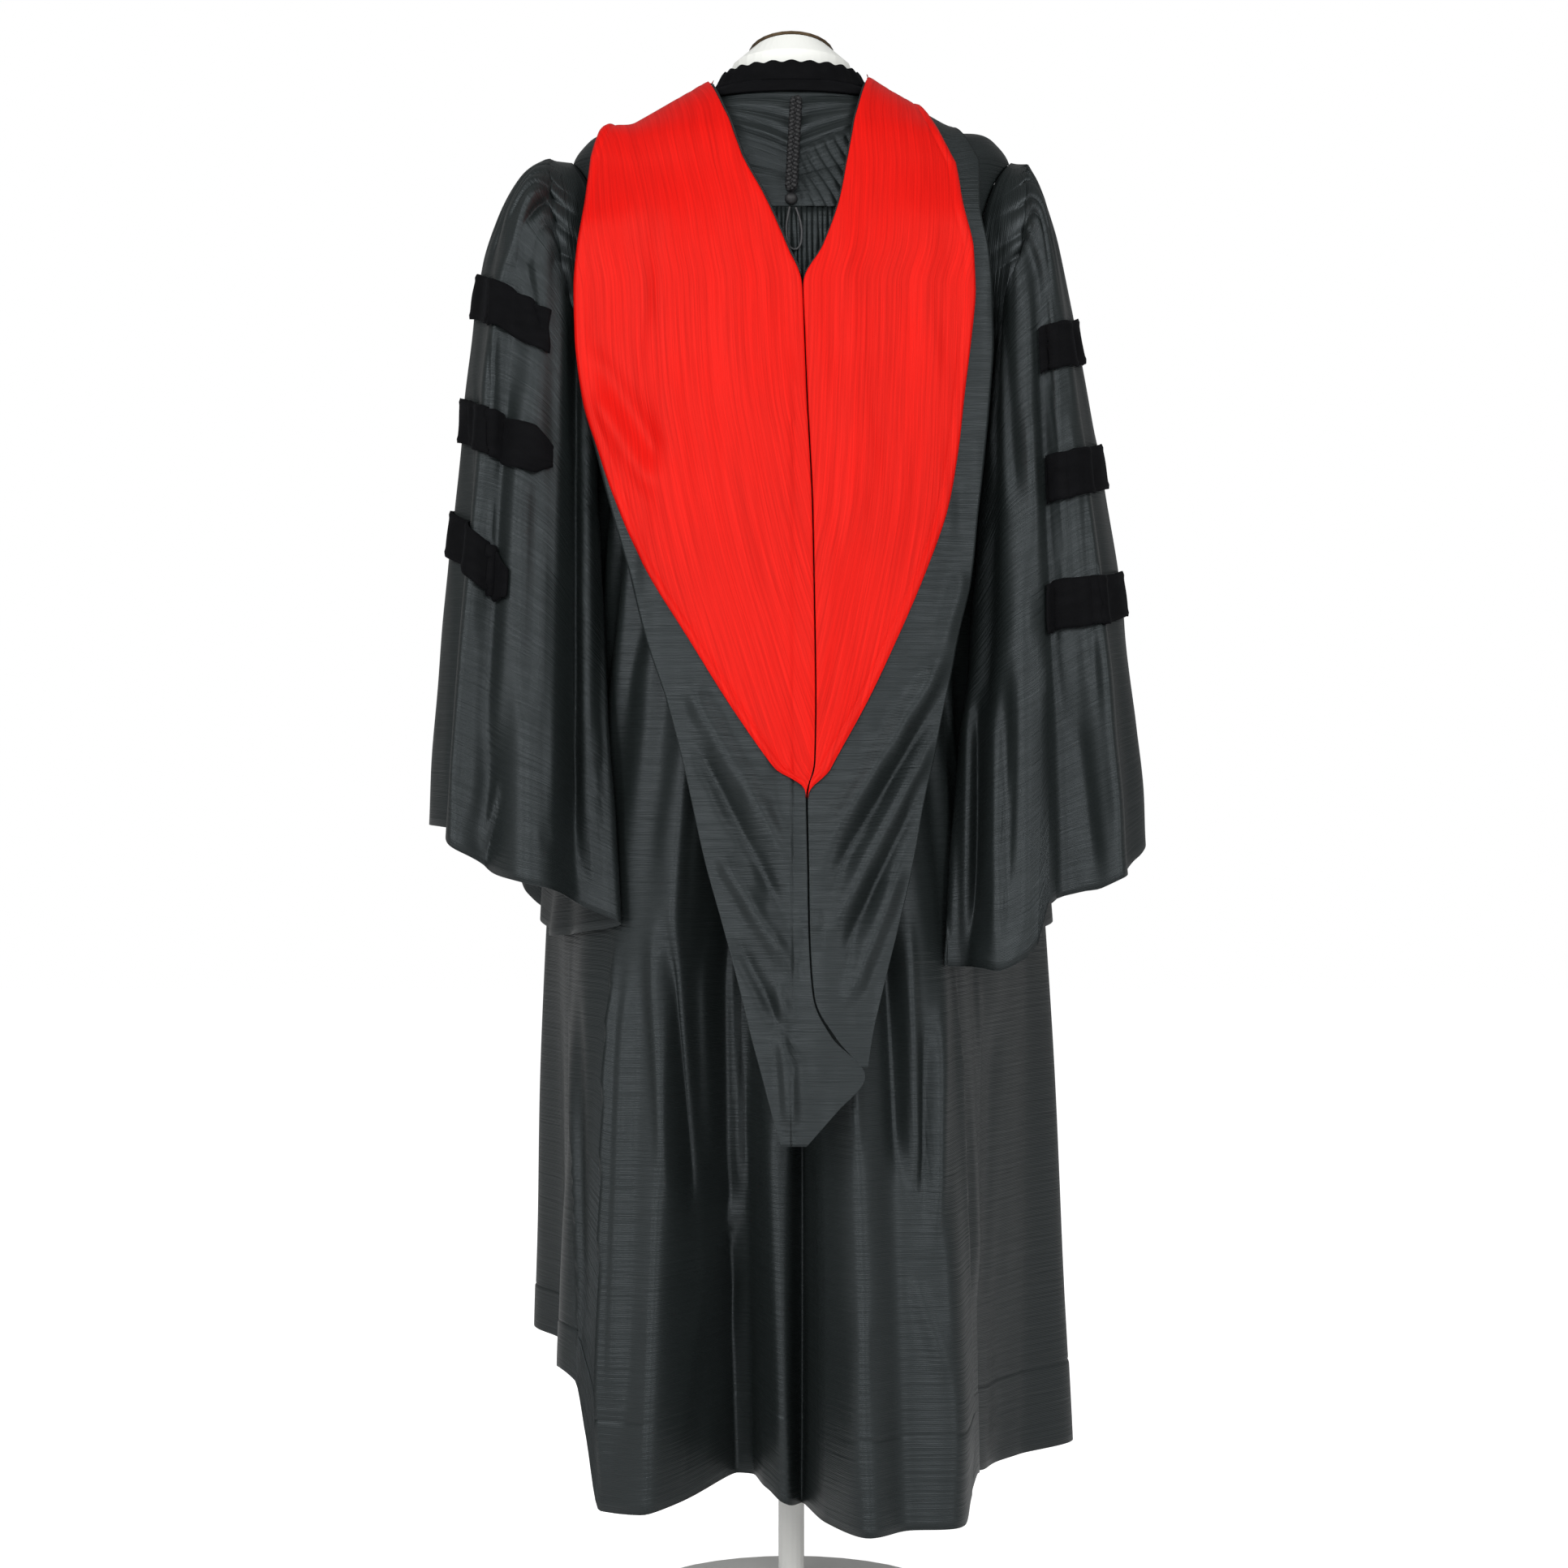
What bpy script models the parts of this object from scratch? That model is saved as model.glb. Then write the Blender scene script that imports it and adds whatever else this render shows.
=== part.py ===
"""A black doctoral gown with velvet trim and a red-lined hood, on a limbless dress form.

Metres, +Z up. The origin is the centre of the base's underside. The back of the gown
faces -Y, and the wearer's right is at +X. Angles round the body are in degrees from the
middle of the back, -Y, and grow towards +X; 180 is the middle of the front.
"""
import math

import bmesh
import bpy
import numpy as np

# Driving dimensions
HEM = 0.130                 # height of the gown's hem above the floor
YOKE_SEAM = 1.340           # height of the seam where the panels hang from the yoke
NECK_SEAM = 1.4585          # height of the seam under the velvet neckband
COLLAR_TOP = 1.487
CLOTH = 0.0016              # thickness of the faille wall, hems and turnings averaged in
SILK = 0.0012               # thickness of the hood's lining
VELVET = 0.0024             # pile and backing together
GAP = 0.0004                # room between pieces at a seam, and under what lies on a panel
SIDE_SEAM = 95.0            # angle of the side seams, just forward of the sides
SEAM_TURNS = 1.02           # the side seam swings forward between these heights
SEAM_STRAIGHT = 1.14
ARMHOLE_MIDDLE = 1.272
ARMHOLE_HALF_HEIGHT = 0.118
ARMHOLE_HALF_ANGLE = 22.0
FOLDS_START = 1.200         # height where the skirt's large folds begin
FLUTES_END = 1.225          # height where the gathers under the yoke have opened out


class Table:
    """Rows with named columns; a column is read, smoothed, at any place of the first one."""

    def __init__(self, names, *rows):
        self.names = names.split()
        self.rows = np.array(sorted(rows))

    def column(self, name):
        return self.rows[:, self.names.index(name)]

    def at(self, name, place):
        return smooth(self.rows[:, 0], self.column(name), place)


def smooth(knots, values, place):
    """A cubic through the knots that never swings past them."""
    place = np.clip(np.asarray(place, dtype=float), knots[0], knots[-1])
    step = np.diff(knots)
    slope = np.diff(values) / step
    tangent = np.zeros(len(knots))
    turn = slope[:-1] * slope[1:]
    mean = 2.0 * turn / np.where(turn > 0.0, slope[:-1] + slope[1:], 1.0)
    tangent[1:-1] = np.where(turn > 0.0, mean, 0.0)
    tangent[0] = slope[0]
    tangent[-1] = slope[-1]
    index = np.clip(np.searchsorted(knots, place, side="right") - 1, 0, len(step) - 1)
    width = step[index]
    t = (place - knots[index]) / width
    rise = values[index] + (values[index + 1] - values[index]) * t * t * (3.0 - 2.0 * t)
    lean = tangent[index] * t * (1.0 - t) ** 2 - tangent[index + 1] * t * t * (1.0 - t)
    return rise + width * lean


def ramp(place, start, end):
    """0 before start, 1 after end, eased between."""
    t = np.clip((np.asarray(place, dtype=float) - start) / (end - start), 0.0, 1.0)
    return t * t * (3.0 - 2.0 * t)


# The worn gown's plain sections, with no folds
BODY = Table(
    "height half_width back front centre",
    (1.4950, 0.060, 0.062, 0.052, 0.000),
    (1.4750, 0.068, 0.066, 0.058, 0.000),
    (1.4585, 0.086, 0.073, 0.063, 0.000),
    (1.4300, 0.142, 0.083, 0.070, 0.000),
    (1.4090, 0.187, 0.093, 0.079, 0.000),
    (1.3850, 0.205, 0.101, 0.085, 0.000),
    (1.3400, 0.209, 0.114, 0.098, 0.000),
    (1.2500, 0.205, 0.134, 0.115, 0.000),
    (1.1500, 0.204, 0.152, 0.128, 0.010),
    (1.0000, 0.211, 0.168, 0.142, 0.020),
    (0.8500, 0.224, 0.180, 0.155, 0.040),
    (0.7000, 0.238, 0.190, 0.168, 0.060),
    (0.5000, 0.246, 0.196, 0.180, 0.080),
    (0.3000, 0.249, 0.199, 0.190, 0.095),
    (0.1300, 0.250, 0.200, 0.200, 0.100),
)

# How far each fold of the skirt stands out, or falls in, at the hem
SKIRT_FOLDS = Table(
    "angle out",
    (-180.0, 0.000),
    (-166.0, 0.012),
    (-152.0, -0.006),
    (-136.0, 0.016),
    (-120.0, -0.008),
    (-101.0, 0.028),
    (-80.0, -0.030),
    (-60.0, -0.012),
    (-44.0, 0.038),
    (-34.0, 0.034),
    (-25.0, 0.030),
    (-20.0, -0.050),
    (-16.0, -0.112),
    (-11.0, -0.108),
    (-6.0, -0.072),
    (-1.0, -0.052),
    (2.5, -0.078),
    (6.0, 0.004),
    (11.0, 0.070),
    (17.0, 0.056),
    (24.0, 0.070),
    (31.0, 0.034),
    (38.0, 0.006),
    (50.0, -0.050),
    (64.0, -0.048),
    (80.0, -0.024),
    (97.0, 0.042),
    (114.0, -0.010),
    (130.0, 0.014),
    (146.0, -0.008),
    (163.0, 0.012),
    (180.0, 0.000),
)

# How high the hem hangs round the skirt, above its lowest
HEM_RISE = Table(
    "angle rise",
    (-180.0, 0.012),
    (-128.0, 0.026),
    (-112.0, 0.090),
    (-100.0, 0.124),
    (-88.0, 0.120),
    (-78.0, 0.112),
    (-66.0, 0.106),
    (-54.0, 0.116),
    (-46.0, 0.124),
    (-41.0, 0.116),
    (-38.0, 0.070),
    (-34.0, 0.001),
    (-26.0, 0.003),
    (-22.0, 0.008),
    (-17.0, 0.018),
    (-10.0, 0.019),
    (-5.0, 0.014),
    (-2.0, 0.006),
    (2.0, 0.000),
    (26.0, 0.001),
    (31.0, 0.018),
    (36.0, 0.030),
    (44.0, 0.016),
    (54.0, 0.008),
    (62.0, 0.004),
    (80.0, 0.005),
    (97.0, 0.007),
    (126.0, 0.012),
    (180.0, 0.012),
)

# The dress form below the shoulders
TORSO = Table(
    "height half_width back front",
    (1.3850, 0.190, 0.092, 0.077),
    (1.3550, 0.194, 0.097, 0.083),
    (1.3100, 0.186, 0.101, 0.092),
    (1.2200, 0.168, 0.106, 0.103),
    (1.1000, 0.148, 0.100, 0.099),
    (1.0000, 0.138, 0.092, 0.090),
    (0.9000, 0.148, 0.096, 0.090),
    (0.8000, 0.160, 0.102, 0.092),
    (0.7000, 0.164, 0.102, 0.092),
    (0.6500, 0.160, 0.098, 0.089),
)
TORSO_ROWS = (1.385, 1.350, 1.29, 1.18, 1.00, 0.82, 0.66, 0.65)


def polar(angle, radius, centre, height):
    """Points round the body's upright axis."""
    turn = np.radians(angle)
    x = radius * np.sin(turn)
    y = centre - radius * np.cos(turn)
    return np.stack(np.broadcast_arrays(x, y, height), axis=-1)


def ellipse(angle, half_width, back, front):
    """Distance from the axis to a section with unlike back and front halves."""
    turn = np.radians(angle)
    depth = np.where(np.cos(turn) > 0.0, back, front)
    return 1.0 / np.sqrt((np.sin(turn) / half_width) ** 2 + (np.cos(turn) / depth) ** 2)


def plain_radius(angle, height):
    centre = BODY.at("centre", height)
    back = BODY.at("back", height) + centre
    front = BODY.at("front", height) - centre
    return ellipse(angle, BODY.at("half_width", height), back, front)


def growth(height):
    """How much of a skirt fold's full depth is there at a height."""
    return np.clip((FOLDS_START - height) / (FOLDS_START - HEM), 0.0, 1.0) ** 1.25


def body_radius(angle, height):
    return plain_radius(angle, height) + SKIRT_FOLDS.at("out", angle) * growth(height)


def body_point(angle, height, out=0.0):
    """A point on the gown's body, moved out from the axis."""
    return polar(angle, body_radius(angle, height) + out, BODY.at("centre", height), height)


def outward(angle, height):
    """The direction that faces away from the body there."""
    small = 0.002
    along = body_point(angle + 1.0, height) - body_point(angle - 1.0, height)
    down = body_point(angle, height - small) - body_point(angle, height + small)
    normal = np.cross(down, along)
    return normal / np.linalg.norm(normal, axis=-1, keepdims=True)


def armhole_angle(height):
    """How far the armhole's edge lies from the side, in degrees, at a height."""
    reach = np.clip((height - ARMHOLE_MIDDLE) / ARMHOLE_HALF_HEIGHT, -1.0, 1.0)
    return ARMHOLE_HALF_ANGLE * np.sqrt(1.0 - reach ** 2)


def gap_angle(height):
    """The angle that gives half a seam's gap at the side."""
    return np.degrees(0.5 * GAP / BODY.at("half_width", height))


def side_edge(height, forward):
    """Angle of a back (-1) or front (1) piece's side: shoulder, armhole, then side seam."""
    upper = 90.0 + forward * armhole_angle(height)
    lower = SIDE_SEAM - (SIDE_SEAM - 90.0) * ramp(height, SEAM_TURNS, SEAM_STRAIGHT)
    over = height > ARMHOLE_MIDDLE - ARMHOLE_HALF_HEIGHT
    return np.where(over, upper, lower) + forward * gap_angle(height)


# Making meshes

COLLECTION = "graduation_gown"
COLOURS = {
    "faille": ((0.020, 0.023, 0.024), 0.50, 0.0),
    "velvet": ((0.004, 0.004, 0.005), 0.85, 0.0),
    "red_silk": ((0.80, 0.012, 0.008), 0.38, 0.0),
    "cord": ((0.008, 0.008, 0.009), 0.55, 0.0),
    "form_white": ((0.82, 0.81, 0.78), 0.55, 0.0),
    "bronze": ((0.16, 0.11, 0.06), 0.40, 1.0),
}


def material(slot, name):
    """A material of its own for each piece, in its slot's colour."""
    colour, roughness, metallic = COLOURS[slot]
    new = bpy.data.materials.new(name + "_" + slot)
    new.use_nodes = True
    shader = new.node_tree.nodes["Principled BSDF"]
    shader.inputs["Base Color"].default_value = (*colour, 1.0)
    shader.inputs["Roughness"].default_value = roughness
    shader.inputs["Metallic"].default_value = metallic
    return new


def place(obj, slot):
    """Put an object in the gown's collection with its own material."""
    for collection in list(obj.users_collection):
        collection.objects.unlink(obj)
    bpy.data.collections[COLLECTION].objects.link(obj)
    obj.data.materials.clear()
    obj.data.materials.append(material(slot, obj.name))
    return obj


def join_rows(above, below, top, bottom, closed):
    """Faces between two rows of vertices; the lower one may have half the columns."""
    faces = []
    columns = below if closed else below - 1
    if above == below:
        for c in range(columns):
            n = (c + 1) % below
            faces.append((top + c, bottom + c, bottom + n, top + n))
        return faces
    for c in range(columns):
        n = (c + 1) % below
        last = (2 * c + 2) % above
        faces.append((top + 2 * c, bottom + c, top + 2 * c + 1))
        faces.append((top + 2 * c + 1, bottom + c, bottom + n))
        faces.append((top + 2 * c + 1, bottom + n, top + last))
    return faces


def sheet(name, rows, slot, thickness, closed=False, side=1.0):
    """A wall of cloth: an open surface through its rows, top to bottom, with Solidify."""
    vertices = []
    faces = []
    start = 0
    for index, row in enumerate(rows):
        vertices.extend(tuple(point) for point in row)
        if index + 1 < len(rows):
            below = start + len(row)
            faces += join_rows(len(row), len(rows[index + 1]), start, below, closed)
        start += len(row)
    mesh = bpy.data.meshes.new(name)
    mesh.from_pydata(vertices, [], faces)
    mesh.validate()
    obj = bpy.data.objects.new(name, mesh)
    bpy.context.scene.collection.objects.link(obj)
    place(obj, slot)
    mesh.shade_smooth()
    wall = obj.modifiers.new("wall", "SOLIDIFY")
    wall.thickness = thickness
    wall.offset = side
    return obj


def closed_body(name, rings, slot):
    """A solid through closed rings, top to bottom, with flat ends."""
    count = len(rings[0])
    vertices = [tuple(point) for ring in rings for point in ring]
    faces = []
    for index in range(len(rings) - 1):
        faces += join_rows(count, count, index * count, (index + 1) * count, True)
    last = (len(rings) - 1) * count
    faces.append(tuple(range(count)))
    faces.append(tuple(last + c for c in reversed(range(count))))
    mesh = bpy.data.meshes.new(name)
    mesh.from_pydata(vertices, [], faces)
    obj = bpy.data.objects.new(name, mesh)
    bpy.context.scene.collection.objects.link(obj)
    place(obj, slot)
    mesh.shade_smooth()
    mesh.set_sharp_from_angle(angle=math.radians(40.0))
    return obj


def turned(name, profile, slot, steps, location, tilt=0.0):
    """A solid of revolution: its outer profile at +X, top to bottom, with Screw."""
    mesh = bpy.data.meshes.new(name)
    points = [(radius, 0.0, height) for radius, height in profile]
    mesh.from_pydata(points, [(i, i + 1) for i in range(len(points) - 1)], [])
    obj = bpy.data.objects.new(name, mesh)
    bpy.context.scene.collection.objects.link(obj)
    place(obj, slot)
    screw = obj.modifiers.new("turn", "SCREW")
    screw.steps = steps
    screw.render_steps = steps
    screw.use_merge_vertices = True
    screw.merge_threshold = 0.0001
    screw.use_smooth_shade = True
    obj.location = location
    obj.rotation_euler = (tilt, 0.0, 0.0)
    return obj


def tube(name, points, radius, slot, resolution=2):
    """A cord: a curve through its points with a round bevel and closed ends."""
    curve = bpy.data.curves.new(name, "CURVE")
    curve.dimensions = "3D"
    curve.bevel_depth = radius
    curve.bevel_resolution = resolution
    curve.use_fill_caps = True
    spline = curve.splines.new("POLY")
    spline.points.add(len(points) - 1)
    for target, point in zip(spline.points, points):
        target.co = (*point, 1.0)
    obj = bpy.data.objects.new(name, curve)
    bpy.context.scene.collection.objects.link(obj)
    return place(obj, slot)


def grid_normals(grid):
    """Outward normals of a grid whose rows run down and whose columns run round."""
    down = np.gradient(grid, axis=0)
    along = np.gradient(grid, axis=1)
    normal = np.cross(down, along)
    return normal / np.linalg.norm(normal, axis=-1, keepdims=True)


def clear_of_body(points, margin):
    """Points moved straight out from the axis wherever they come too near the body."""
    centre = BODY.at("centre", points[..., 2])
    x = points[..., 0]
    y = points[..., 1] - centre
    angle = np.degrees(np.arctan2(x, -y))
    least = body_radius(angle, points[..., 2]) + margin
    here = np.hypot(x, y)
    scale = np.maximum(least / np.maximum(here, 1e-6), 1.0)
    return np.stack([x * scale, y * scale + centre, points[..., 2]], axis=-1)


# The yokes: a back one with tucks under the neckband, and two plain front ones

BACK_HALF = (5.0, 10.0, 16.0, 22.0, 29.0, 37.0, 47.0, 60.0, 74.0, 90.0)
BACK_ANGLES = np.array([-a for a in reversed(BACK_HALF)] + [0.0] + list(BACK_HALF))
FRONT_ANGLES = np.linspace(90.0, 180.0, 11)
FACING_COLUMNS = 3
TUCK_HEIGHTS = (1.4530, 1.4475, 1.4420, 1.4365, 1.4310, 1.4255)
TUCK_DEPTH = 0.0018
TUCK_DROOP = 0.010
LOWER_HEIGHTS = (1.4150, 1.3960, 1.3770, 1.3580)
FRONT_YOKE_HEIGHTS = (1.4450, 1.4300, 1.4150, 1.4000, 1.3800, 1.3600)
FAN_PLEAT = 0.0014
FRONT_MEET = 0.0040         # half the space between the two fronts
FRONT_RADIUS = 0.095        # distance of the fronts' meeting edges from the axis
FACING_TURN = 0.4           # share of its first row that a facing drops from the neckband


def spread(angles, edge):
    """Angles of a row, drawn in so that the outermost ones lie on the piece's edge."""
    return angles * (edge / np.max(np.abs(angles)))


def back_yoke():
    rows = []
    heights = (NECK_SEAM - 0.5 * GAP, *TUCK_HEIGHTS, *LOWER_HEIGHTS, YOKE_SEAM + 0.5 * GAP)
    for index, height in enumerate(heights):
        angles = spread(BACK_ANGLES, float(side_edge(height, -1)))
        middle = np.cos(np.radians(angles)) ** 2
        out = np.full(len(angles), GAP)
        actual = np.full(len(angles), height)
        if height in TUCK_HEIGHTS:
            actual = height - TUCK_DROOP * middle * index / len(TUCK_HEIGHTS)
            out = out + TUCK_DEPTH * (0.2 + 0.8 * (index % 2)) * middle
        if height in LOWER_HEIGHTS:
            right = (angles > 4.0) & (angles < 50.0)
            raised = (np.arange(len(angles)) + index) % 2
            out = out + FAN_PLEAT * right * raised
            actual = height - TUCK_DROOP * middle * ramp(height, YOKE_SEAM, LOWER_HEIGHTS[0])
        rows.append(body_point(angles, actual, out))
    return sheet("yoke_back", rows, "faille", CLOTH)


def front_columns(edge, side):
    """Angles of a front piece's row, from the side to the middle of the front."""
    share = (FRONT_ANGLES - 90.0) / 90.0
    middle = 180.0 - np.degrees(FRONT_MEET / FRONT_RADIUS)
    angles = edge + (middle - edge) * share
    return angles if side > 0 else -angles[::-1]


def front_yoke_rows(side):
    heights = (NECK_SEAM - 0.5 * GAP, *FRONT_YOKE_HEIGHTS, YOKE_SEAM + 0.5 * GAP)
    return [body_point(front_columns(float(side_edge(h, 1)), side), h, GAP) for h in heights]


# The neckband

COLLAR_COLUMNS = 36
COLLAR_OPEN = 1.6           # degrees left open on each side of the middle of the front
COLLAR_ROWS = Table(
    "height out",
    (1.4592, 0.0036),
    (1.4665, 0.0026),
    (1.4730, 0.0012),
    (COLLAR_TOP, 0.0010),
)
SCALLOP = 0.0016


def velvet_collar():
    angles = np.linspace(-180.0 + COLLAR_OPEN, 180.0 - COLLAR_OPEN, COLLAR_COLUMNS + 1)
    rows = []
    for height, out in COLLAR_ROWS.rows[::-1]:
        actual = np.full(len(angles), height)
        if height == COLLAR_TOP:
            actual = height + SCALLOP * ((np.arange(len(angles)) % 2) - 0.5)
        rows.append(body_point(angles, actual, out))
    return sheet("velvet_collar", rows, "velvet", VELVET)


# The panels that hang from the yokes

PANEL_COLUMNS = 42          # across the back below the gathers; above there are twice as many
FLUTED_ROWS = (YOKE_SEAM - 0.5 * GAP, 1.3200, 1.2950, 1.2600)
PANEL_ROWS = (FLUTES_END, 1.1700, 1.1000, 1.0200, 0.9300, 0.8300, 0.7200, 0.6000, 0.4700, 0.3400)
LAST_ROWS = (0.2200, HEM)
FLUTE = 0.0013
GATHER = 0.0030
FLUTED_EDGE = 65.5          # angle of the panel's corners at the yoke's seam
FINE_FLUTES = Table("share angle", (0.0, -FLUTED_EDGE), (1 / 3, -11.0), (2 / 3, 22.0),
                    (1.0, FLUTED_EDGE))
CROWDED_ABOVE = 1.30        # the cloth is crowded to the middle above this height
EVEN_BELOW = 0.85           # and evenly shared out below this one
GATHERS_END = 0.90          # height where the last of the gathers has gone
EDGE_FADE = 40.0            # how soon the gathers start from the panel's side edges


def hem_shares(first, last, columns):
    """Angles that divide the hem into equal lengths of cloth."""
    angle = np.linspace(first, last, 721)
    curve = body_point(angle, np.full(len(angle), HEM))
    length = np.concatenate([[0.0], np.cumsum(np.linalg.norm(np.diff(curve, axis=0), axis=1))])
    return np.interp(np.linspace(0.0, length[-1], columns + 1), length, angle)


def hang(angles, height, out):
    """A row of a panel, with the hem's own rise added towards the bottom."""
    low = np.clip((FOLDS_START - height) / (FOLDS_START - HEM), 0.0, 1.0) ** 5
    return body_point(angles, height + low * HEM_RISE.at("rise", angles), out)


def back_panel():
    hem = hem_shares(-SIDE_SEAM, SIDE_SEAM, PANEL_COLUMNS) / SIDE_SEAM
    rows = []
    for height in (*FLUTED_ROWS, *PANEL_ROWS, *LAST_ROWS):
        doubled = height in FLUTED_ROWS
        columns = 2 * PANEL_COLUMNS if doubled else PANEL_COLUMNS
        share = np.linspace(0.0, 1.0, columns + 1)
        top = np.interp(share, FINE_FLUTES.column("share"), FINE_FLUTES.column("angle")) / FLUTED_EDGE
        low = np.interp(share, np.linspace(0.0, 1.0, PANEL_COLUMNS + 1), hem)
        settled = float(1.0 - ramp(height, EVEN_BELOW, CROWDED_ABOVE))
        angles = (top + (low - top) * settled) * float(side_edge(height, -1))
        ripple = (np.arange(columns + 1) % 2) * 2.0 - 1.0
        inside = np.clip(EDGE_FADE * share * (1.0 - share), 0.0, 1.0)
        depth = FLUTE if doubled else GATHER * float(ramp(height, GATHERS_END, FLUTES_END))
        rows.append(hang(angles, height, ripple * depth * inside))
    return sheet("back_panel", rows, "faille", CLOTH)


def front_rows(side):
    heights = (YOKE_SEAM - 0.5 * GAP, 1.3000, 1.2600, 1.2150, *PANEL_ROWS[1:], *LAST_ROWS)
    return [hang(front_columns(float(side_edge(h, 1)), side), h, 0.0) for h in heights]


def fronts():
    for side, name in ((-1, "left"), (1, "right")):
        yoke = front_yoke_rows(side)
        panel = front_rows(side)
        sheet("yoke_front_" + name, yoke, "faille", CLOTH)
        sheet("front_" + name, panel, "faille", CLOTH)
        seam = 0.5 * (yoke[-1] + panel[0])
        yoke[0] = yoke[0] + (yoke[1] - yoke[0]) * FACING_TURN
        grid = np.array(yoke[:-1] + [seam] + panel[1:])
        middle = slice(-FACING_COLUMNS - 1, None) if side > 0 else slice(0, FACING_COLUMNS + 1)
        facing = (grid + grid_normals(grid) * (CLOTH + 2.0 * GAP))[:, middle]
        sheet("velvet_facing_" + name, list(facing), "velvet", VELVET)


# The sleeves: rings from the armhole to the wrist edge. Each row gives the ring's outer
# and inner points, its depth to the near (back) and far sides, how late round the ring
# the droop to the inner point comes, and how far the near inner corner swings in.

SLEEVE_COLUMNS = 30
SLEEVE_NAMES = "way outer_x outer_z inner_x inner_z near far droop swing"
SLEEVES = {
    "left": Table(
        SLEEVE_NAMES,
        (1, 0.232, 1.403, 0.2130, 1.134, 0.090, 0.084, 1.4, 0.010),
        (2, 0.254, 1.386, 0.2130, 1.110, 0.100, 0.092, 2.2, 0.018),
        (3, 0.281, 1.343, 0.2130, 1.076, 0.108, 0.098, 3.4, 0.026),
        (4, 0.296, 1.297, 0.210, 1.044, 0.114, 0.102, 4.0, 0.032),
        (5, 0.302, 1.255, 0.211, 1.014, 0.120, 0.106, 4.0, 0.036),
        (6, 0.312, 1.176, 0.213, 0.956, 0.134, 0.114, 4.0, 0.040),
        (7, 0.314, 1.134, 0.215, 0.925, 0.141, 0.118, 3.8, 0.045),
        (8, 0.320, 1.065, 0.218, 0.875, 0.152, 0.126, 3.4, 0.050),
        (9, 0.323, 1.023, 0.221, 0.846, 0.160, 0.130, 3.0, 0.055),
        (10, 0.330, 0.930, 0.228, 0.780, 0.176, 0.140, 2.4, 0.066),
        (11, 0.334, 0.840, 0.236, 0.716, 0.192, 0.148, 2.0, 0.080),
        (12, 0.336, 0.762, 0.245, 0.655, 0.205, 0.155, 1.6, 0.092),
    ),
    "right": Table(
        SLEEVE_NAMES,
        (1, 0.226, 1.402, 0.2130, 1.134, 0.088, 0.084, 1.4, 0.010),
        (2, 0.238, 1.370, 0.2130, 1.110, 0.098, 0.092, 2.2, 0.018),
        (3, 0.252, 1.326, 0.2130, 1.076, 0.106, 0.098, 3.4, 0.026),
        (4, 0.268, 1.250, 0.210, 1.030, 0.116, 0.104, 4.0, 0.032),
        (5, 0.276, 1.208, 0.211, 1.000, 0.122, 0.108, 4.0, 0.038),
        (6, 0.289, 1.129, 0.213, 0.945, 0.136, 0.116, 4.0, 0.045),
        (7, 0.295, 1.087, 0.215, 0.915, 0.143, 0.120, 3.8, 0.050),
        (8, 0.306, 1.006, 0.218, 0.862, 0.158, 0.128, 3.4, 0.058),
        (9, 0.310, 0.964, 0.221, 0.834, 0.165, 0.132, 3.0, 0.066),
        (10, 0.319, 0.885, 0.228, 0.776, 0.178, 0.142, 2.4, 0.080),
        (11, 0.324, 0.815, 0.236, 0.716, 0.190, 0.150, 2.0, 0.095),
        (12, 0.327, 0.745, 0.245, 0.655, 0.204, 0.156, 1.6, 0.111),
    ),
}
SLEEVE_FOLDS = {
    "left": Table(
        "around out",
        (0, 0.000), (24, 0.010), (44, -0.014), (62, 0.010), (80, -0.024), (98, 0.014),
        (116, -0.020), (134, 0.020), (152, -0.010), (180, 0.000), (215, 0.008),
        (240, -0.012), (268, 0.012), (296, -0.012), (326, 0.008), (360, 0.000),
    ),
    "right": Table(
        "around out",
        (0, 0.000), (26, 0.008), (48, -0.010), (66, 0.006), (84, -0.034), (102, 0.020),
        (116, -0.004), (132, 0.018), (152, -0.010), (180, 0.000), (212, 0.008),
        (238, -0.012), (264, 0.012), (294, -0.012), (328, 0.008), (360, 0.000),
    ),
}
SWING_AT = 128.0            # where on the ring the near inner corner is
SWING_WIDTH = 34.0
SWING_SHAPE = {"left": 2.0, "right": 4.0}     # the right one hangs as a broad, flat panel
SWING_DROP = {"left": 0.10, "right": 0.45}      # it hangs lower by this share of its swing
# How much lower than its plain line the wrist edge hangs, round the sleeve
SLEEVE_HEM = {
    "left": Table(
        "around lower",
        (0, 0.000), (54, 0.000), (66, 0.006), (84, 0.010), (96, 0.005), (108, 0.000),
        (360, 0.000),
    ),
    "right": Table(
        "around lower",
        (0, 0.000), (24, 0.000), (36, 0.012), (48, 0.020), (60, 0.016), (84, 0.012), (90, 0.004),
        (96, -0.004), (98, 0.034), (102, 0.036), (108, 0.022), (114, 0.012), (126, 0.000),
        (132, -0.006), (144, -0.015), (156, -0.008), (180, 0.000), (360, 0.000),
    ),
}
SLEEVE_WAYS = (1, 2, 3, 4, 5, 6, 7, 8, 9, 10, 11, 12)
HEAD_GATHER = 0.0022
ARMHOLE_ROOM = 0.0021       # room between a sleeve's head and the body under its edge
BODY_ROOM = 0.0085          # least room between a sleeve and the body inside it
SIGN = {"left": -1.0, "right": 1.0}


def around(side):
    """Degrees round a sleeve's ring: 0 outer, 90 back, 180 inner, 270 front."""
    turn = np.arange(SLEEVE_COLUMNS) * 360.0 / SLEEVE_COLUMNS
    return turn if side == "left" else (360.0 - turn) % 360.0


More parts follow.
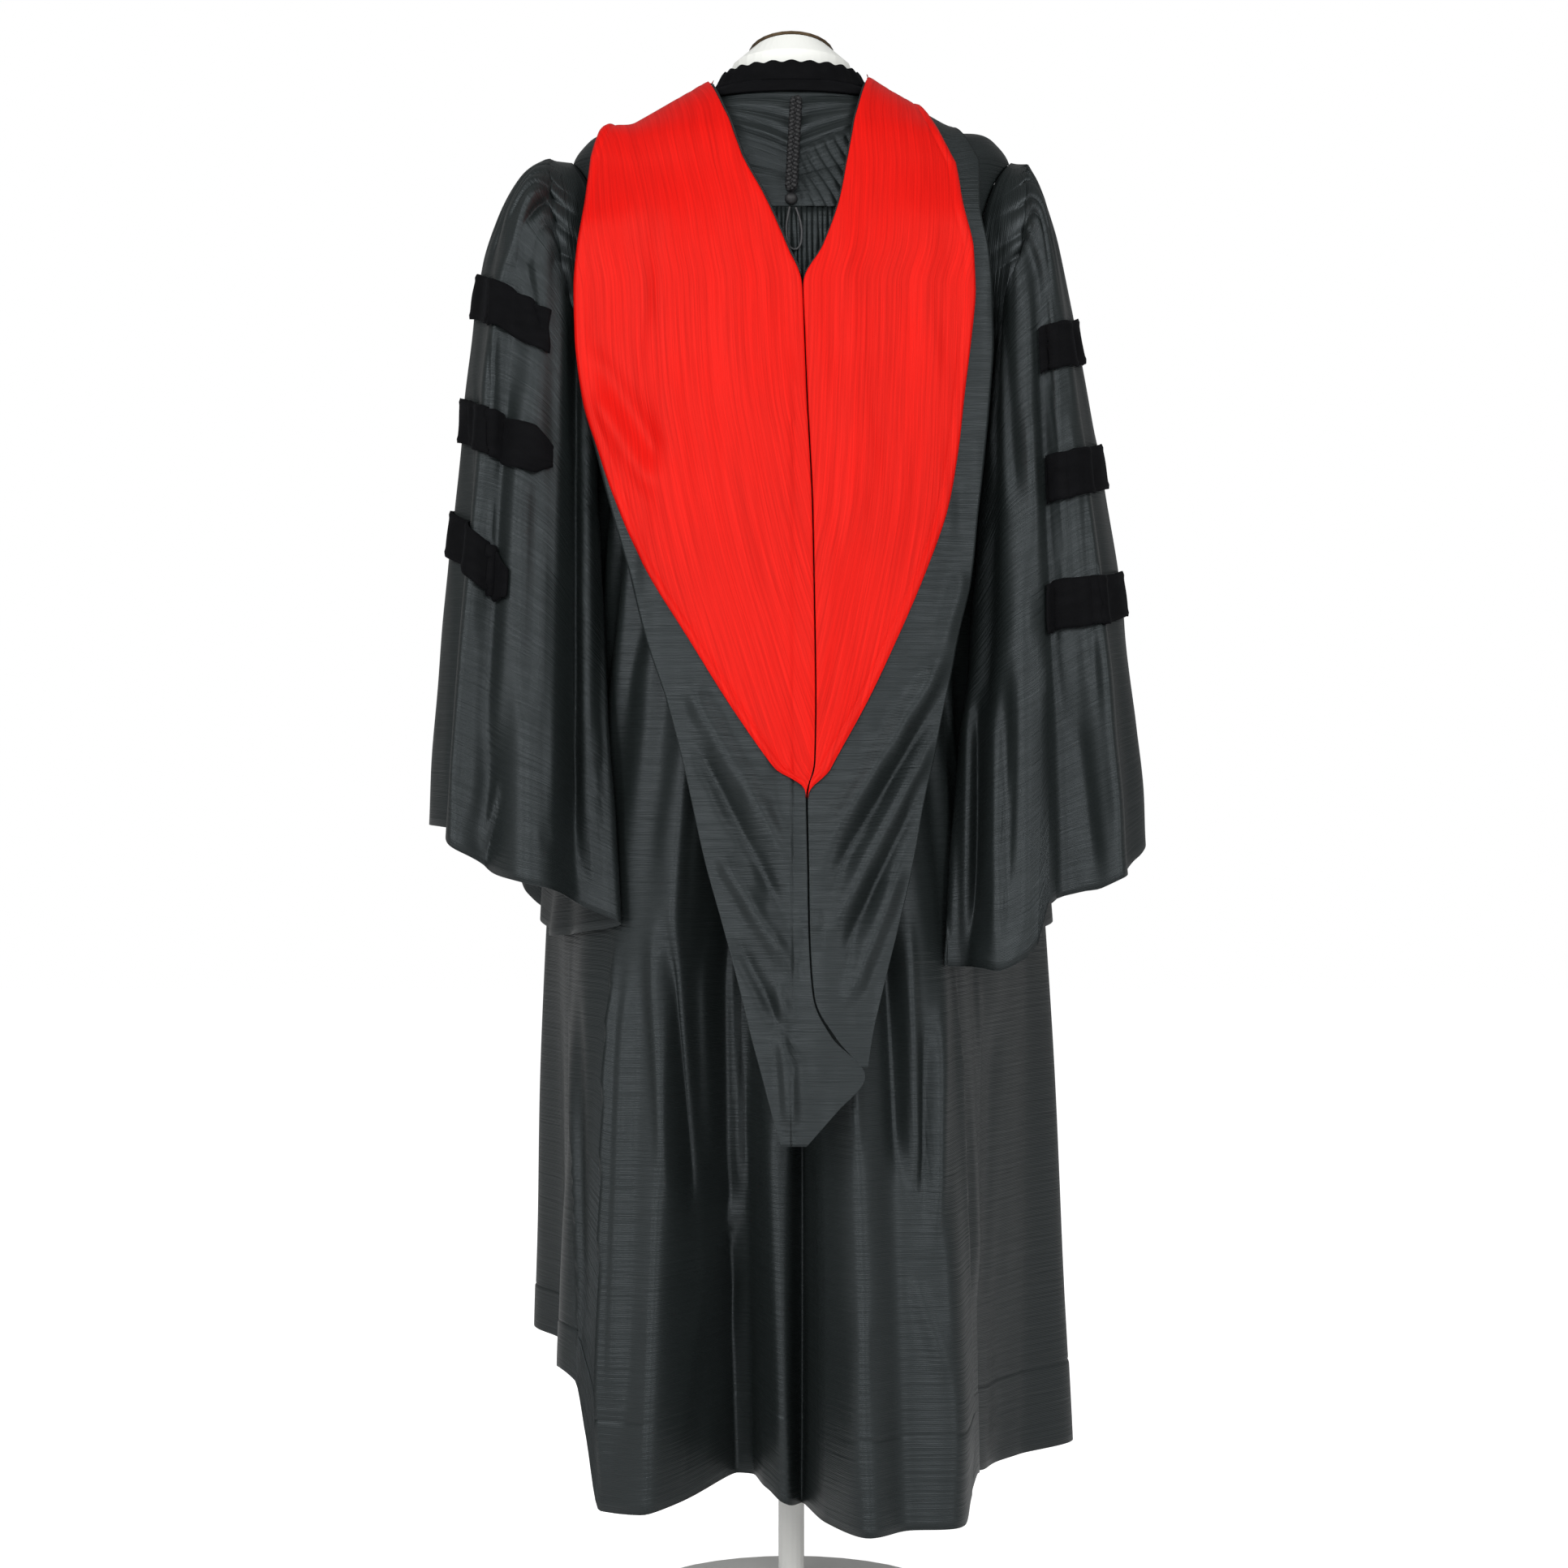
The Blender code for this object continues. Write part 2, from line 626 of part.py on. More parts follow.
def armhole_ring(side):
    """The sleeve's first ring: on the armhole's edge, just off the body's wall."""
    turn = np.radians(around(side))
    height = ARMHOLE_MIDDLE + ARMHOLE_HALF_HEIGHT * np.cos(turn)
    angle = SIGN[side] * (90.0 - ARMHOLE_HALF_ANGLE * np.sin(turn))
    return body_point(angle, height) + outward(angle, height) * (CLOTH + ARMHOLE_ROOM)


def sleeve_ring(side, way):
    table = SLEEVES[side]
    degrees = around(side)
    turn = np.radians(degrees)
    across = 0.5 * (1.0 - np.cos(turn))
    grown = (way / 12.0) ** 1.3
    bump = np.exp(-np.abs((degrees - SWING_AT) / SWING_WIDTH) ** SWING_SHAPE[side])
    swing = float(table.at("swing", way)) * bump
    outer = float(table.at("outer_x", way))
    inner = float(table.at("inner_x", way))
    depth = np.where(np.sin(turn) > 0.0, table.at("near", way), table.at("far", way))
    drop = float(table.at("outer_z", way) - table.at("inner_z", way))
    ripple = (np.arange(SLEEVE_COLUMNS) % 2) * 2.0 - 1.0
    out = SLEEVE_FOLDS[side].at("out", degrees) * grown
    out = out + ripple * HEAD_GATHER * float(ramp(way, 6.0, 1.0)) * (across < 0.9)
    x = outer + (inner - outer) * across - swing + out * np.cos(turn)
    y = -depth * np.sin(turn) - out * np.sin(turn)
    z = table.at("outer_z", way) - drop * across ** float(table.at("droop", way))
    low = SLEEVE_HEM[side].at("lower", degrees) * ((way - 1.0) / 11.0) ** 6
    ring = np.stack([SIGN[side] * x, y, z - SWING_DROP[side] * swing - low], axis=-1)
    return clear_of_body(ring, BODY_ROOM)


def ring_normals(rings):
    """Outward normals of rings that close on themselves."""
    grid = np.concatenate([rings[:, -1:], rings, rings[:, :1]], axis=1)
    return grid_normals(grid)[:, 1:-1]


# Velvet bars: the sleeve ring that each starts at, and how far round it reaches
BARS = Table("number way", (1, 4), (2, 6), (3, 8))
BAR_REACH = {"left": Table("number near far", (1, 118, 62), (2, 118, 62), (3, 84, 62)),
             "right": Table("number near far", (1, 96, 62), (2, 96, 62), (3, 96, 62))}
BAR_POINT = 0.45            # how much a bar narrows at its pointed ends
BAR_LIFT = 0.0016           # room under a bar, where the sleeve's faces bend most


def sleeve_bar(side, number, rings):
    """A bar made from the sleeve's own points, moved out, with pointed ends."""
    way = int(BARS.rows[number - 1, 1])
    lifted = rings + ring_normals(rings) * (CLOTH + BAR_LIFT)
    near, far = BAR_REACH[side].rows[number - 1, 1:]
    degrees = around(side)
    signed = np.where(degrees > 180.0, degrees - 360.0, degrees)
    chosen = [c for c in np.argsort(signed) if -far <= signed[c] <= near]
    if side == "right":
        chosen = chosen[::-1]
    top = lifted[way, chosen]
    low = lifted[way + 1, chosen]
    middle = 0.5 * (top + low)
    for end in (0, -1):
        top[end] += (middle[end] - top[end]) * BAR_POINT
        low[end] += (middle[end] - low[end]) * BAR_POINT
    sheet("bar_%s_%d" % (side, number), [top, middle, low], "velvet", VELVET)


def sleeves():
    for side in ("left", "right"):
        rings = [armhole_ring(side)] + [sleeve_ring(side, way) for way in SLEEVE_WAYS]
        sheet("sleeve_" + side, rings, "faille", CLOTH, closed=True)
        for number in (1, 2, 3):
            sleeve_bar(side, number, np.array(rings))


# The hood. Rows run down from the crest of the shoulder, row 0, whose heights follow the
# shoulder, to the tail. Places across are measured from the middle of the back.

HOOD_NAMES = "row height seam lining shell"
HOODS = {
    "left": Table(
        HOOD_NAMES,
        (0, 1.4700, -0.0780, -0.1780, -0.1780),
        (1, 1.385, -0.0450, -0.1900, -0.1900),
        (2, 1.345, -0.0240, -0.1920, -0.1920),
        (3, 1.300, -0.0045, -0.1970, -0.1970),
        (4, 1.262, 0.0096, -0.2000, -0.2000),
        (5, 1.215, 0.0115, -0.2000, -0.2000),
        (6, 1.160, 0.0135, -0.1930, -0.1935),
        (7, 1.110, 0.0160, -0.1780, -0.1815),
        (8, 1.053, 0.0185, -0.1580, -0.1660),
        (9, 0.995, 0.0195, -0.1310, -0.1490),
        (10, 0.935, 0.0205, -0.0950, -0.1330),
        (11, 0.875, 0.0210, -0.0580, -0.1130),
        (12, 0.820, 0.0200, -0.0205, -0.0985),
        (13, 0.787, 0.0130, 0.0040, -0.0910),
        (14, 0.730, 0.0140, 0.0000, -0.0780),
        (15, 0.670, 0.0150, 0.0000, -0.0610),
        (16, 0.610, 0.0190, 0.0000, -0.0450),
        (17, 0.575, 0.0350, 0.0000, -0.0365),
        (18, 0.540, 0.0660, 0.0000, -0.0270),
        (19, 0.508, 0.0400, 0.0000, -0.0185),
        (20, 0.478, 0.0130, 0.0000, -0.0100),
    ),
    "right": Table(
        HOOD_NAMES,
        (0, 1.4700, 0.0740, 0.1180, 0.1500),
        (1, 1.385, 0.0530, 0.1500, 0.1745),
        (2, 1.345, 0.0445, 0.1590, 0.1765),
        (3, 1.300, 0.0290, 0.1690, 0.1840),
        (4, 1.262, 0.0106, 0.1700, 0.1870),
        (5, 1.215, 0.0125, 0.1660, 0.1875),
        (6, 1.160, 0.0145, 0.1590, 0.1840),
        (7, 1.110, 0.0170, 0.1530, 0.1790),
        (8, 1.053, 0.0195, 0.1420, 0.1720),
        (9, 0.995, 0.0205, 0.1210, 0.1650),
        (10, 0.935, 0.0215, 0.0960, 0.1510),
        (11, 0.875, 0.0220, 0.0680, 0.1390),
        (12, 0.820, 0.0210, 0.0380, 0.1270),
        (13, 0.787, 0.0140, 0.0210, 0.1195),
        (14, 0.730, 0.0150, 0.0000, 0.1090),
        (15, 0.670, 0.0160, 0.0000, 0.0950),
        (16, 0.610, 0.0200, 0.0000, 0.0800),
        (17, 0.575, 0.0380, 0.0000, 0.0710),
    ),
}
CREST_SHARES = (0.0, 0.16, 0.36, 0.60, 0.82)
LINING_LAST = 13            # the row where the lining ends in its point
HOOD_COLUMNS = 6
HOOD_OFF_YOKE = 0.0044      # the shell's height above the yoke at the shoulders
HOOD_OFF_COLLAR = 0.0050    # how much more it stands off beside the neckband
COLLAR_BESIDE = 0.09        # nearer the middle than this the hood stands off in full
COLLAR_CLEAR = 0.16         # and beyond this not at all
HOOD_WIDER = 0.085          # the hood bridges flat from the back towards the sleeves
HOOD_ROUND = 2.2
TAIL_STANDS_OFF = 0.012
FOLD_REACH = 0.070
LINING_ROOM = {"left": 0.0016, "right": 0.0013}     # between the shell and the lining over it


def crest(x):
    """Height of the shoulder's top line at a distance from the middle."""
    above = BODY.column("height") >= YOKE_SEAM
    return np.interp(-np.abs(x), -BODY.column("half_width")[above], BODY.column("height")[above])


def back_angle(x, height):
    """The angle on the back where the body's plain section is as far from the middle as x."""
    half = BODY.at("half_width", height)
    share = np.clip(np.abs(x) / half, 0.0, 1.0)
    depth = BODY.at("back", height) * np.sqrt(1.0 - share ** 2)
    angle = np.degrees(np.arctan2(share * half, depth)) - gap_angle(height) * share
    return np.copysign(angle, x)


def lift(x):
    """How far the hood's shell is above the gown, at a distance from the middle."""
    return HOOD_OFF_YOKE + HOOD_OFF_COLLAR * ramp(np.abs(x), COLLAR_CLEAR, COLLAR_BESIDE)


def hood_depth(x, z):
    """Distance of the hood behind the wearer's middle plane."""
    wider = lift(x) + HOOD_WIDER * ramp(z, 1.40, 1.33)
    half = BODY.at("half_width", z) + wider
    swell = FOLD_REACH * growth(z) + TAIL_STANDS_OFF * ramp(z, 1.20, 0.90)
    back = BODY.at("back", z) + lift(x) + swell
    inside = np.clip(1.0 - np.abs(x / half) ** HOOD_ROUND, 0.0, 1.0)
    return back * inside ** (1.0 / HOOD_ROUND)


def over_shoulder(first, x):
    """Rows from the crest of the shoulder back to the hood's first free row."""
    angle = np.degrees(np.arctan2(first[:, 0], -first[:, 1]))
    off = np.hypot(first[:, 0], first[:, 1]) - body_radius(angle, first[:, 2])
    rows = []
    for share in CREST_SHARES:
        height = crest(x) + (first[:, 2] - crest(x)) * share
        across = x + (first[:, 0] - x) * share
        turn = back_angle(across, height)
        height_off = lift(x) + (off - lift(x)) * share ** 2
        rows.append(body_point(turn, height) + outward(turn, height) * height_off[:, None])
    return rows


def hood_grid(side, outer, last, seam_room):
    """Points of the hood between its centre seam and one of its outer edges."""
    table = HOODS[side]
    rows = []
    for row in table.rows[:last + 1]:
        values = dict(zip(table.names, row))
        seam = values["seam"] + SIGN[side] * seam_room
        first, final = (values[outer], seam) if side == "left" else (seam, values[outer])
        x = np.linspace(first, final, HOOD_COLUMNS + 1)
        if values["row"] == 0.0:
            crest_x = x
            continue
        z = np.full(len(x), values["height"])
        point = clear_of_body(np.stack([x, -hood_depth(x, z), z], axis=-1), HOOD_OFF_YOKE)
        rows.append(point)
    return np.array(over_shoulder(rows[0], crest_x) + rows)


def hood():
    for side in ("left", "right"):
        shell = hood_grid(side, "shell", len(HOODS[side].rows), 0.5 * GAP)
        sheet("hood_shell_" + side, list(shell), "faille", CLOTH)
        under = hood_grid(side, "lining", LINING_LAST, 0.5 * GAP)
        lining = under + grid_normals(under) * (CLOTH + LINING_ROOM[side])
        sheet("hood_lining_" + side, list(lining), "red_silk", SILK)


# The hood's neckband crosses the chest, from one shoulder's crest to the other's

BAND_STEPS = 20
BAND_COLUMNS = 3
BAND = Table(
    "angle inner outer off",
    (90.0, 1.4640, 1.4120, 0.0052),
    (102.0, 1.4570, 1.4000, 0.0064),
    (116.0, 1.4440, 1.3780, 0.0074),
    (134.0, 1.4180, 1.3460, 0.0074),
    (156.0, 1.3820, 1.3120, 0.0084),
    (180.0, 1.3560, 1.2900, 0.0090),
)


def hood_neckband():
    edge = 90.0 + float(gap_angle(1.44))
    rows = []
    for angle in np.linspace(edge, 360.0 - edge, BAND_STEPS + 1):
        at = {name: float(BAND.at(name, min(angle, 360.0 - angle))) for name in BAND.names}
        height = np.linspace(at["inner"], at["outer"], BAND_COLUMNS + 1)
        turn = np.full(len(height), angle if angle <= 180.0 else angle - 360.0)
        rows.append(body_point(turn, height) + outward(turn, height) * at["off"])
    sheet("hood_neckband", list(np.array(rows).transpose(1, 0, 2)), "faille", CLOTH)


# Trim at the middle of the back

BRAID_TOP = 1.449
BRAID_FOOT = 1.356
BRAID_HALF_WIDTH = 0.0050
BRAID_HALF_DEPTH = 0.0030
BRAID_ROWS = 19
BRAID_SIDES = 8
PLAIT = 0.0009
BUTTON_RADIUS = 0.0060
BUTTON_HEIGHT = 1.3475
LOOP_RADIUS = 0.0011
LOOP_ROUTE = (
    (-0.0018, -0.0006), (-0.0028, -0.0060), (-0.0042, -0.0130), (-0.0050, -0.0210),
    (-0.0048, -0.0290), (-0.0034, -0.0358), (-0.0006, -0.0405), (0.0032, -0.0420),
    (0.0068, -0.0396), (0.0090, -0.0335), (0.0094, -0.0250), (0.0082, -0.0150),
    (0.0058, -0.0064), (0.0040, -0.0012),
)


def back_surface(x, z, off):
    """A point on the middle of the back, a little off its surface."""
    half = float(BODY.at("half_width", z))
    depth = float(BODY.at("back", z)) + off
    return (x, -depth * math.sqrt(max(0.0, 1.0 - (x / half) ** 2)), z)


def hood_braid():
    rings = []
    for step in range(BRAID_ROWS):
        share = step / (BRAID_ROWS - 1)
        z = BRAID_TOP + (BRAID_FOOT - BRAID_TOP) * share
        x = 0.0045 - 0.0050 * share
        centre = back_surface(x, z, CLOTH + TUCK_DEPTH + GAP + BRAID_HALF_DEPTH + PLAIT)
        end = 0.55 if step in (0, BRAID_ROWS - 1) else 1.0
        wave = PLAIT * (1.0 if step % 2 else -1.0)
        ring = []
        for side in range(BRAID_SIDES):
            turn = 2.0 * math.pi * side / BRAID_SIDES
            wide = (BRAID_HALF_WIDTH + wave * math.copysign(1.0, math.cos(turn))) * end
            ring.append((centre[0] + wide * math.sin(turn),
                         centre[1] - BRAID_HALF_DEPTH * end * math.cos(turn), z))
        rings.append(ring)
    closed_body("hood_braid", rings, "cord")


def hood_button():
    profile = [(0.0, 0.0045), (0.0030, 0.0040), (0.0052, 0.0025), (BUTTON_RADIUS, 0.0),
               (0.0050, -0.0016), (0.0, -0.0018)]
    seat = back_surface(-0.0004, BUTTON_HEIGHT, CLOTH + FAN_PLEAT + 2.0 * GAP + 0.0018)
    turned("hood_button", profile, "cord", 16, seat, math.radians(90.0))


def button_loop():
    points = []
    for x, drop in LOOP_ROUTE:
        z = BUTTON_HEIGHT - BUTTON_RADIUS - 0.0018 + drop
        points.append(back_surface(x, z, CLOTH + FLUTE + 2.0 * GAP + LOOP_RADIUS))
    tube("button_loop", points, LOOP_RADIUS, "cord")


# The dress form

NECK = Table(
    "height half_width back front",
    (1.4585, 0.0856, 0.0726, 0.0626),
    (1.4720, 0.0640, 0.0600, 0.0530),
    (1.4850, 0.0615, 0.0585, 0.0510),
)
NECK_ROWS = (1.4850, 1.4720)
NECK_DOME = 1.13            # how far the neck swells out between its sides and its plate
# The form's shoulder rows: how far each lies under the gown's plain surface. The yokes
# rest on the first.
SHOULDER_ROWS = (
    (NECK_SEAM, 0.5 * GAP),
    (1.4530, 0.0036),
    (1.4450, 0.0044),
    (1.4300, 0.0048),
    (1.4150, 0.0052),
    (1.4000, 0.0085),
)
CAP_TILT = 20.0
CAP_RADIUS = 0.0410
CAP_HEIGHT = 1.5050
CAP_FORWARD = -0.0040
RIM_TUBE = 0.0016
POLE_RADIUS = 0.0125
BASE_RADIUS = 0.165
BASE_HEIGHT = 0.018


def form_angles():
    back = list(BACK_ANGLES)
    front = [float(a) for a in FRONT_ANGLES[1:]]
    return np.array(back + front + [-a for a in reversed(front[:-1])])


def form_torso():
    angles = form_angles()
    rings = []
    tilt = math.radians(CAP_TILT)
    turn = np.radians(angles)
    across = CAP_RADIUS * np.sin(turn)
    along = -CAP_RADIUS * np.cos(turn)
    rings.append(np.stack([across, CAP_FORWARD + along * math.cos(tilt),
                           CAP_HEIGHT - along * math.sin(tilt)], axis=-1))
    for height in NECK_ROWS:
        section = [NECK.at(name, height) for name in ("half_width", "back", "front")]
        rings.append(polar(angles, ellipse(angles, *section), 0.0, height))
    dome = 0.5 * (rings[0] + rings[1])
    dome[:, :2] *= NECK_DOME
    rings.insert(1, dome)
    for height, under in SHOULDER_ROWS:
        rings.append(polar(angles, plain_radius(angles, height) - under, 0.0, height))
    for height in TORSO_ROWS:
        section = [TORSO.at(name, height) for name in ("half_width", "back", "front")]
        rings.append(polar(angles, ellipse(angles, *section), 0.0, height))
    closed_body("form_torso", rings, "form_white")


def cap_place(lift):
    """A point on the tilted axis of the neck's top plate."""
    tilt = math.radians(CAP_TILT)
    return (0.0, CAP_FORWARD + lift * math.sin(tilt), CAP_HEIGHT + lift * math.cos(tilt))


def form_top():
    tilt = -math.radians(CAP_TILT)
    plate = [(0.0, 0.0050), (CAP_RADIUS - 0.006, 0.0050), (CAP_RADIUS - 0.0025, 0.0030),
             (CAP_RADIUS - 0.0022, 0.0), (0.0, 0.0)]
    turned("form_neck_cap", plate, "form_white", 28, cap_place(GAP), tilt)
    inner = CAP_RADIUS - 0.0018
    outer = CAP_RADIUS + 0.0008
    ring = bmesh.new()
    profile = [(outer, 0.0), (outer, 0.0030), (inner, 0.0030), (inner, 0.0)]
    corners = [ring.verts.new((r, 0.0, h)) for r, h in profile]
    edges = [ring.edges.new((corners[i], corners[(i + 1) % 4])) for i in range(4)]
    bmesh.ops.spin(ring, geom=corners + edges, axis=(0, 0, 1), cent=(0, 0, 0), steps=28,
                   angle=2.0 * math.pi, use_merge=True, use_duplicate=False)
    bmesh.ops.remove_doubles(ring, verts=ring.verts, dist=0.00001)
    bmesh.ops.recalc_face_normals(ring, faces=ring.faces)
    mesh = bpy.data.meshes.new("form_cap_rim")
    ring.to_mesh(mesh)
    ring.free()
    rim = bpy.data.objects.new("form_cap_rim", mesh)
    bpy.context.scene.collection.objects.link(rim)
    place(rim, "bronze")
    rim.location = cap_place(GAP)
    rim.rotation_euler = (tilt, 0.0, 0.0)
    knob = [(0.0, 0.0225), (0.0050, 0.0210), (0.0080, 0.0160), (0.0072, 0.0100),
            (0.0048, 0.0050), (0.0052, 0.0), (0.0, 0.0)]
    turned("form_knob", knob, "form_white", 16, cap_place(0.0050 + 2.0 * GAP), tilt)


def form_stand():
    pole_top = TORSO_ROWS[-1] - GAP
    pole = [(0.0, pole_top), (POLE_RADIUS, pole_top), (POLE_RADIUS, BASE_HEIGHT + GAP),
            (0.0, BASE_HEIGHT + GAP)]
    turned("form_pole", pole, "form_white", 16, (0.0, 0.0, 0.0))
    base = [(0.0, BASE_HEIGHT), (0.030, BASE_HEIGHT), (BASE_RADIUS - 0.012, 0.011),
            (BASE_RADIUS, 0.006), (BASE_RADIUS, 0.0), (0.0, 0.0)]
    turned("form_base", base, "form_white", 36, (0.0, 0.0, 0.0))


def main():
    for obj in list(bpy.data.objects):
        bpy.data.objects.remove(obj)
    collection = bpy.data.collections.new(COLLECTION)
    bpy.context.scene.collection.children.link(collection)
    back_yoke()
    velvet_collar()
    back_panel()
    fronts()
    sleeves()
    hood()
    hood_neckband()
    hood_braid()
    hood_button()
    button_loop()
    form_torso()
    form_top()
    form_stand()


main()
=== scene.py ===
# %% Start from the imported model
import math

import bmesh
import bpy
import numpy as np
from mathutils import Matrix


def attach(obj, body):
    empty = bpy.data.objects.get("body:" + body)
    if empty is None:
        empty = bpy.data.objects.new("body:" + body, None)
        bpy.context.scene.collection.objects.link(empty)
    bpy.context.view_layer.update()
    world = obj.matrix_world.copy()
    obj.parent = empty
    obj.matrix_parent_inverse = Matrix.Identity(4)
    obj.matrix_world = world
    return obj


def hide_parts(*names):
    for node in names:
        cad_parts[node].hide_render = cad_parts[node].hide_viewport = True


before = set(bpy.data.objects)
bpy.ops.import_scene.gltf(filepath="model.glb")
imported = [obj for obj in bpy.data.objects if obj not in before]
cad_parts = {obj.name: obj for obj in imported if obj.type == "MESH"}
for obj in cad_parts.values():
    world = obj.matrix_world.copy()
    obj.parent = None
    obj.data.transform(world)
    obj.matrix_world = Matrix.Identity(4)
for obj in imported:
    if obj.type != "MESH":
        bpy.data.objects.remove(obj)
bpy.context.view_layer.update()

# %% [markdown]
# ## The camera
# The photograph looks straight at the back of the gown from about three metres, level, at
# the height of its middle. A long lens at that distance keeps the hood and the hem at the
# same scale. The camera could be aimed with a constraint, but plain numbers are easier to
# check against the picture, so it gets a place, a turn and a focal length.

# %% The camera
CAMERA_DISTANCE = 3.0
CAMERA_HEIGHT = 0.80
CAMERA_X = -0.0071
LENS = 70.8

lens = bpy.data.cameras.new("camera")
lens.lens = LENS
lens.sensor_width = 36.0
camera = bpy.data.objects.new("camera", lens)
camera.location = (CAMERA_X, -CAMERA_DISTANCE, CAMERA_HEIGHT)
camera.rotation_euler = (math.radians(90.0), 0.0, 0.0)
bpy.context.scene.collection.objects.link(camera)
bpy.context.scene.camera = camera

# %% [markdown]
# ## Smooth tables
# A garment's sections are easiest to state as short tables: a few heights, and the width and
# depth at each. A straight line between two rows would leave kinks that show as bands on
# dark silk, and a plain spline can swing past the rows. This cubic stays between them.

# %% Smooth tables
class Table:
    """Rows with named columns; a column is read, smoothed, at any place of the first one."""

    def __init__(self, names, *rows):
        self.names = names.split()
        self.rows = np.array(sorted(rows))

    def column(self, name):
        return self.rows[:, self.names.index(name)]

    def at(self, name, place):
        return smooth(self.rows[:, 0], self.column(name), place)


def smooth(knots, values, place):
    """A cubic through the knots that never swings past them."""
    place = np.clip(np.asarray(place, dtype=float), knots[0], knots[-1])
    step = np.diff(knots)
    slope = np.diff(values) / step
    tangent = np.zeros(len(knots))
    turn = slope[:-1] * slope[1:]
    mean = 2.0 * turn / np.where(turn > 0.0, slope[:-1] + slope[1:], 1.0)
    tangent[1:-1] = np.where(turn > 0.0, mean, 0.0)
    tangent[0] = slope[0]
    tangent[-1] = slope[-1]
    index = np.clip(np.searchsorted(knots, place, side="right") - 1, 0, len(step) - 1)
    width = step[index]
    t = (place - knots[index]) / width
    rise = values[index] + (values[index + 1] - values[index]) * t * t * (3.0 - 2.0 * t)
    lean = tangent[index] * t * (1.0 - t) ** 2 - tangent[index + 1] * t * t * (1.0 - t)
    return rise + width * lean


def ramp(place, start, end):
    """0 before start, 1 after end, eased between."""
    t = np.clip((np.asarray(place, dtype=float) - start) / (end - start), 0.0, 1.0)
    return t * t * (3.0 - 2.0 * t)


def run_along(points):
    """Metres from the first of some points to each of them."""
    return np.concatenate([[0.0], np.cumsum(np.linalg.norm(np.diff(points, axis=0), axis=1))])


def run_across(grid):
    """Metres across each row of a grid, from its first column."""
    step = np.linalg.norm(np.diff(grid, axis=1), axis=-1)
    return np.concatenate([np.zeros((len(grid), 1)), np.cumsum(step, axis=1)], axis=1)


# %% [markdown]
# ## The worn gown's sections
# These are the sizes of the model's solids, in metres: the plain body without folds, how far
# each large fold of the skirt stands out at the hem, and how high the hem hangs. Every piece
# of cloth below starts from them, so it lies on its solid. Angles go round the body from the
# middle of the back, growing towards +X.

# %% The worn gown's sections
HEM = 0.130
YOKE_SEAM = 1.340
NECK_SEAM = 1.4585
COLLAR_TOP = 1.487
CLOTH = 0.0016
GAP = 0.0004
SIDE_SEAM = 95.0
SEAM_TURNS = 1.02
SEAM_STRAIGHT = 1.14
ARMHOLE_MIDDLE = 1.272
ARMHOLE_HALF_HEIGHT = 0.118
ARMHOLE_HALF_ANGLE = 22.0
FOLDS_START = 1.200

BODY = Table(
    "height half_width back front centre",
    (1.4950, 0.060, 0.062, 0.052, 0.000),
    (1.4750, 0.068, 0.066, 0.058, 0.000),
    (1.4585, 0.090, 0.073, 0.063, 0.000),
    (1.4300, 0.150, 0.083, 0.070, 0.000),
    (1.4090, 0.196, 0.093, 0.079, 0.000),
    (1.3850, 0.2110, 0.101, 0.085, 0.000),
    (1.3400, 0.2110, 0.114, 0.098, 0.000),
    (1.2500, 0.205, 0.134, 0.115, 0.000),
    (1.1500, 0.204, 0.152, 0.128, 0.010),
    (1.0000, 0.211, 0.168, 0.142, 0.020),
    (0.8500, 0.224, 0.180, 0.155, 0.040),
    (0.7000, 0.238, 0.190, 0.168, 0.060),
    (0.5000, 0.246, 0.196, 0.180, 0.080),
    (0.3000, 0.249, 0.199, 0.190, 0.095),
    (0.1300, 0.250, 0.200, 0.200, 0.100),
)
SKIRT_FOLDS = Table(
    "angle out",
    (-180.0, 0.000), (-166.0, 0.012), (-152.0, -0.006), (-136.0, 0.016), (-120.0, -0.008),
    (-101.0, 0.028), (-80.0, -0.030), (-60.0, -0.012), (-44.0, 0.038), (-34.0, 0.034),
    (-25.0, 0.030), (-20.0, -0.050), (-16.0, -0.112), (-11.0, -0.108), (-6.0, -0.072),
    (-1.0, -0.052), (2.5, -0.078), (6.0, 0.004), (11.0, 0.070), (17.0, 0.056),
    (24.0, 0.070), (31.0, 0.034), (38.0, 0.006), (50.0, -0.050), (64.0, -0.048),
    (80.0, -0.024), (97.0, 0.042), (114.0, -0.010), (130.0, 0.014), (146.0, -0.008),
    (163.0, 0.012), (180.0, 0.000),
)
SHOULDER_RISE = 0.012
HEM_RISE = Table(
    "angle rise",
    (-180.0, 0.012), (-128.0, 0.026), (-112.0, 0.090), (-100.0, 0.124), (-88.0, 0.120),
    (-78.0, 0.112), (-66.0, 0.106), (-54.0, 0.116), (-46.0, 0.124), (-41.0, 0.116),
    (-38.0, 0.070), (-34.0, 0.001), (-26.0, 0.003), (-22.0, 0.008), (-17.0, 0.018),
    (-10.0, 0.019), (-5.0, 0.014), (-2.0, 0.006), (2.0, 0.000), (26.0, 0.001), (31.0, 0.018),
    (36.0, 0.030), (44.0, 0.016), (54.0, 0.008), (62.0, 0.004), (80.0, 0.005), (97.0, 0.007),
    (126.0, 0.012), (180.0, 0.012),
)

# %% Points on the body
def polar(angle, radius, centre, height):
    """Points round the body's upright axis."""
    turn = np.radians(angle)
    x = radius * np.sin(turn)
    y = centre - radius * np.cos(turn)
    return np.stack(np.broadcast_arrays(x, y, height), axis=-1)


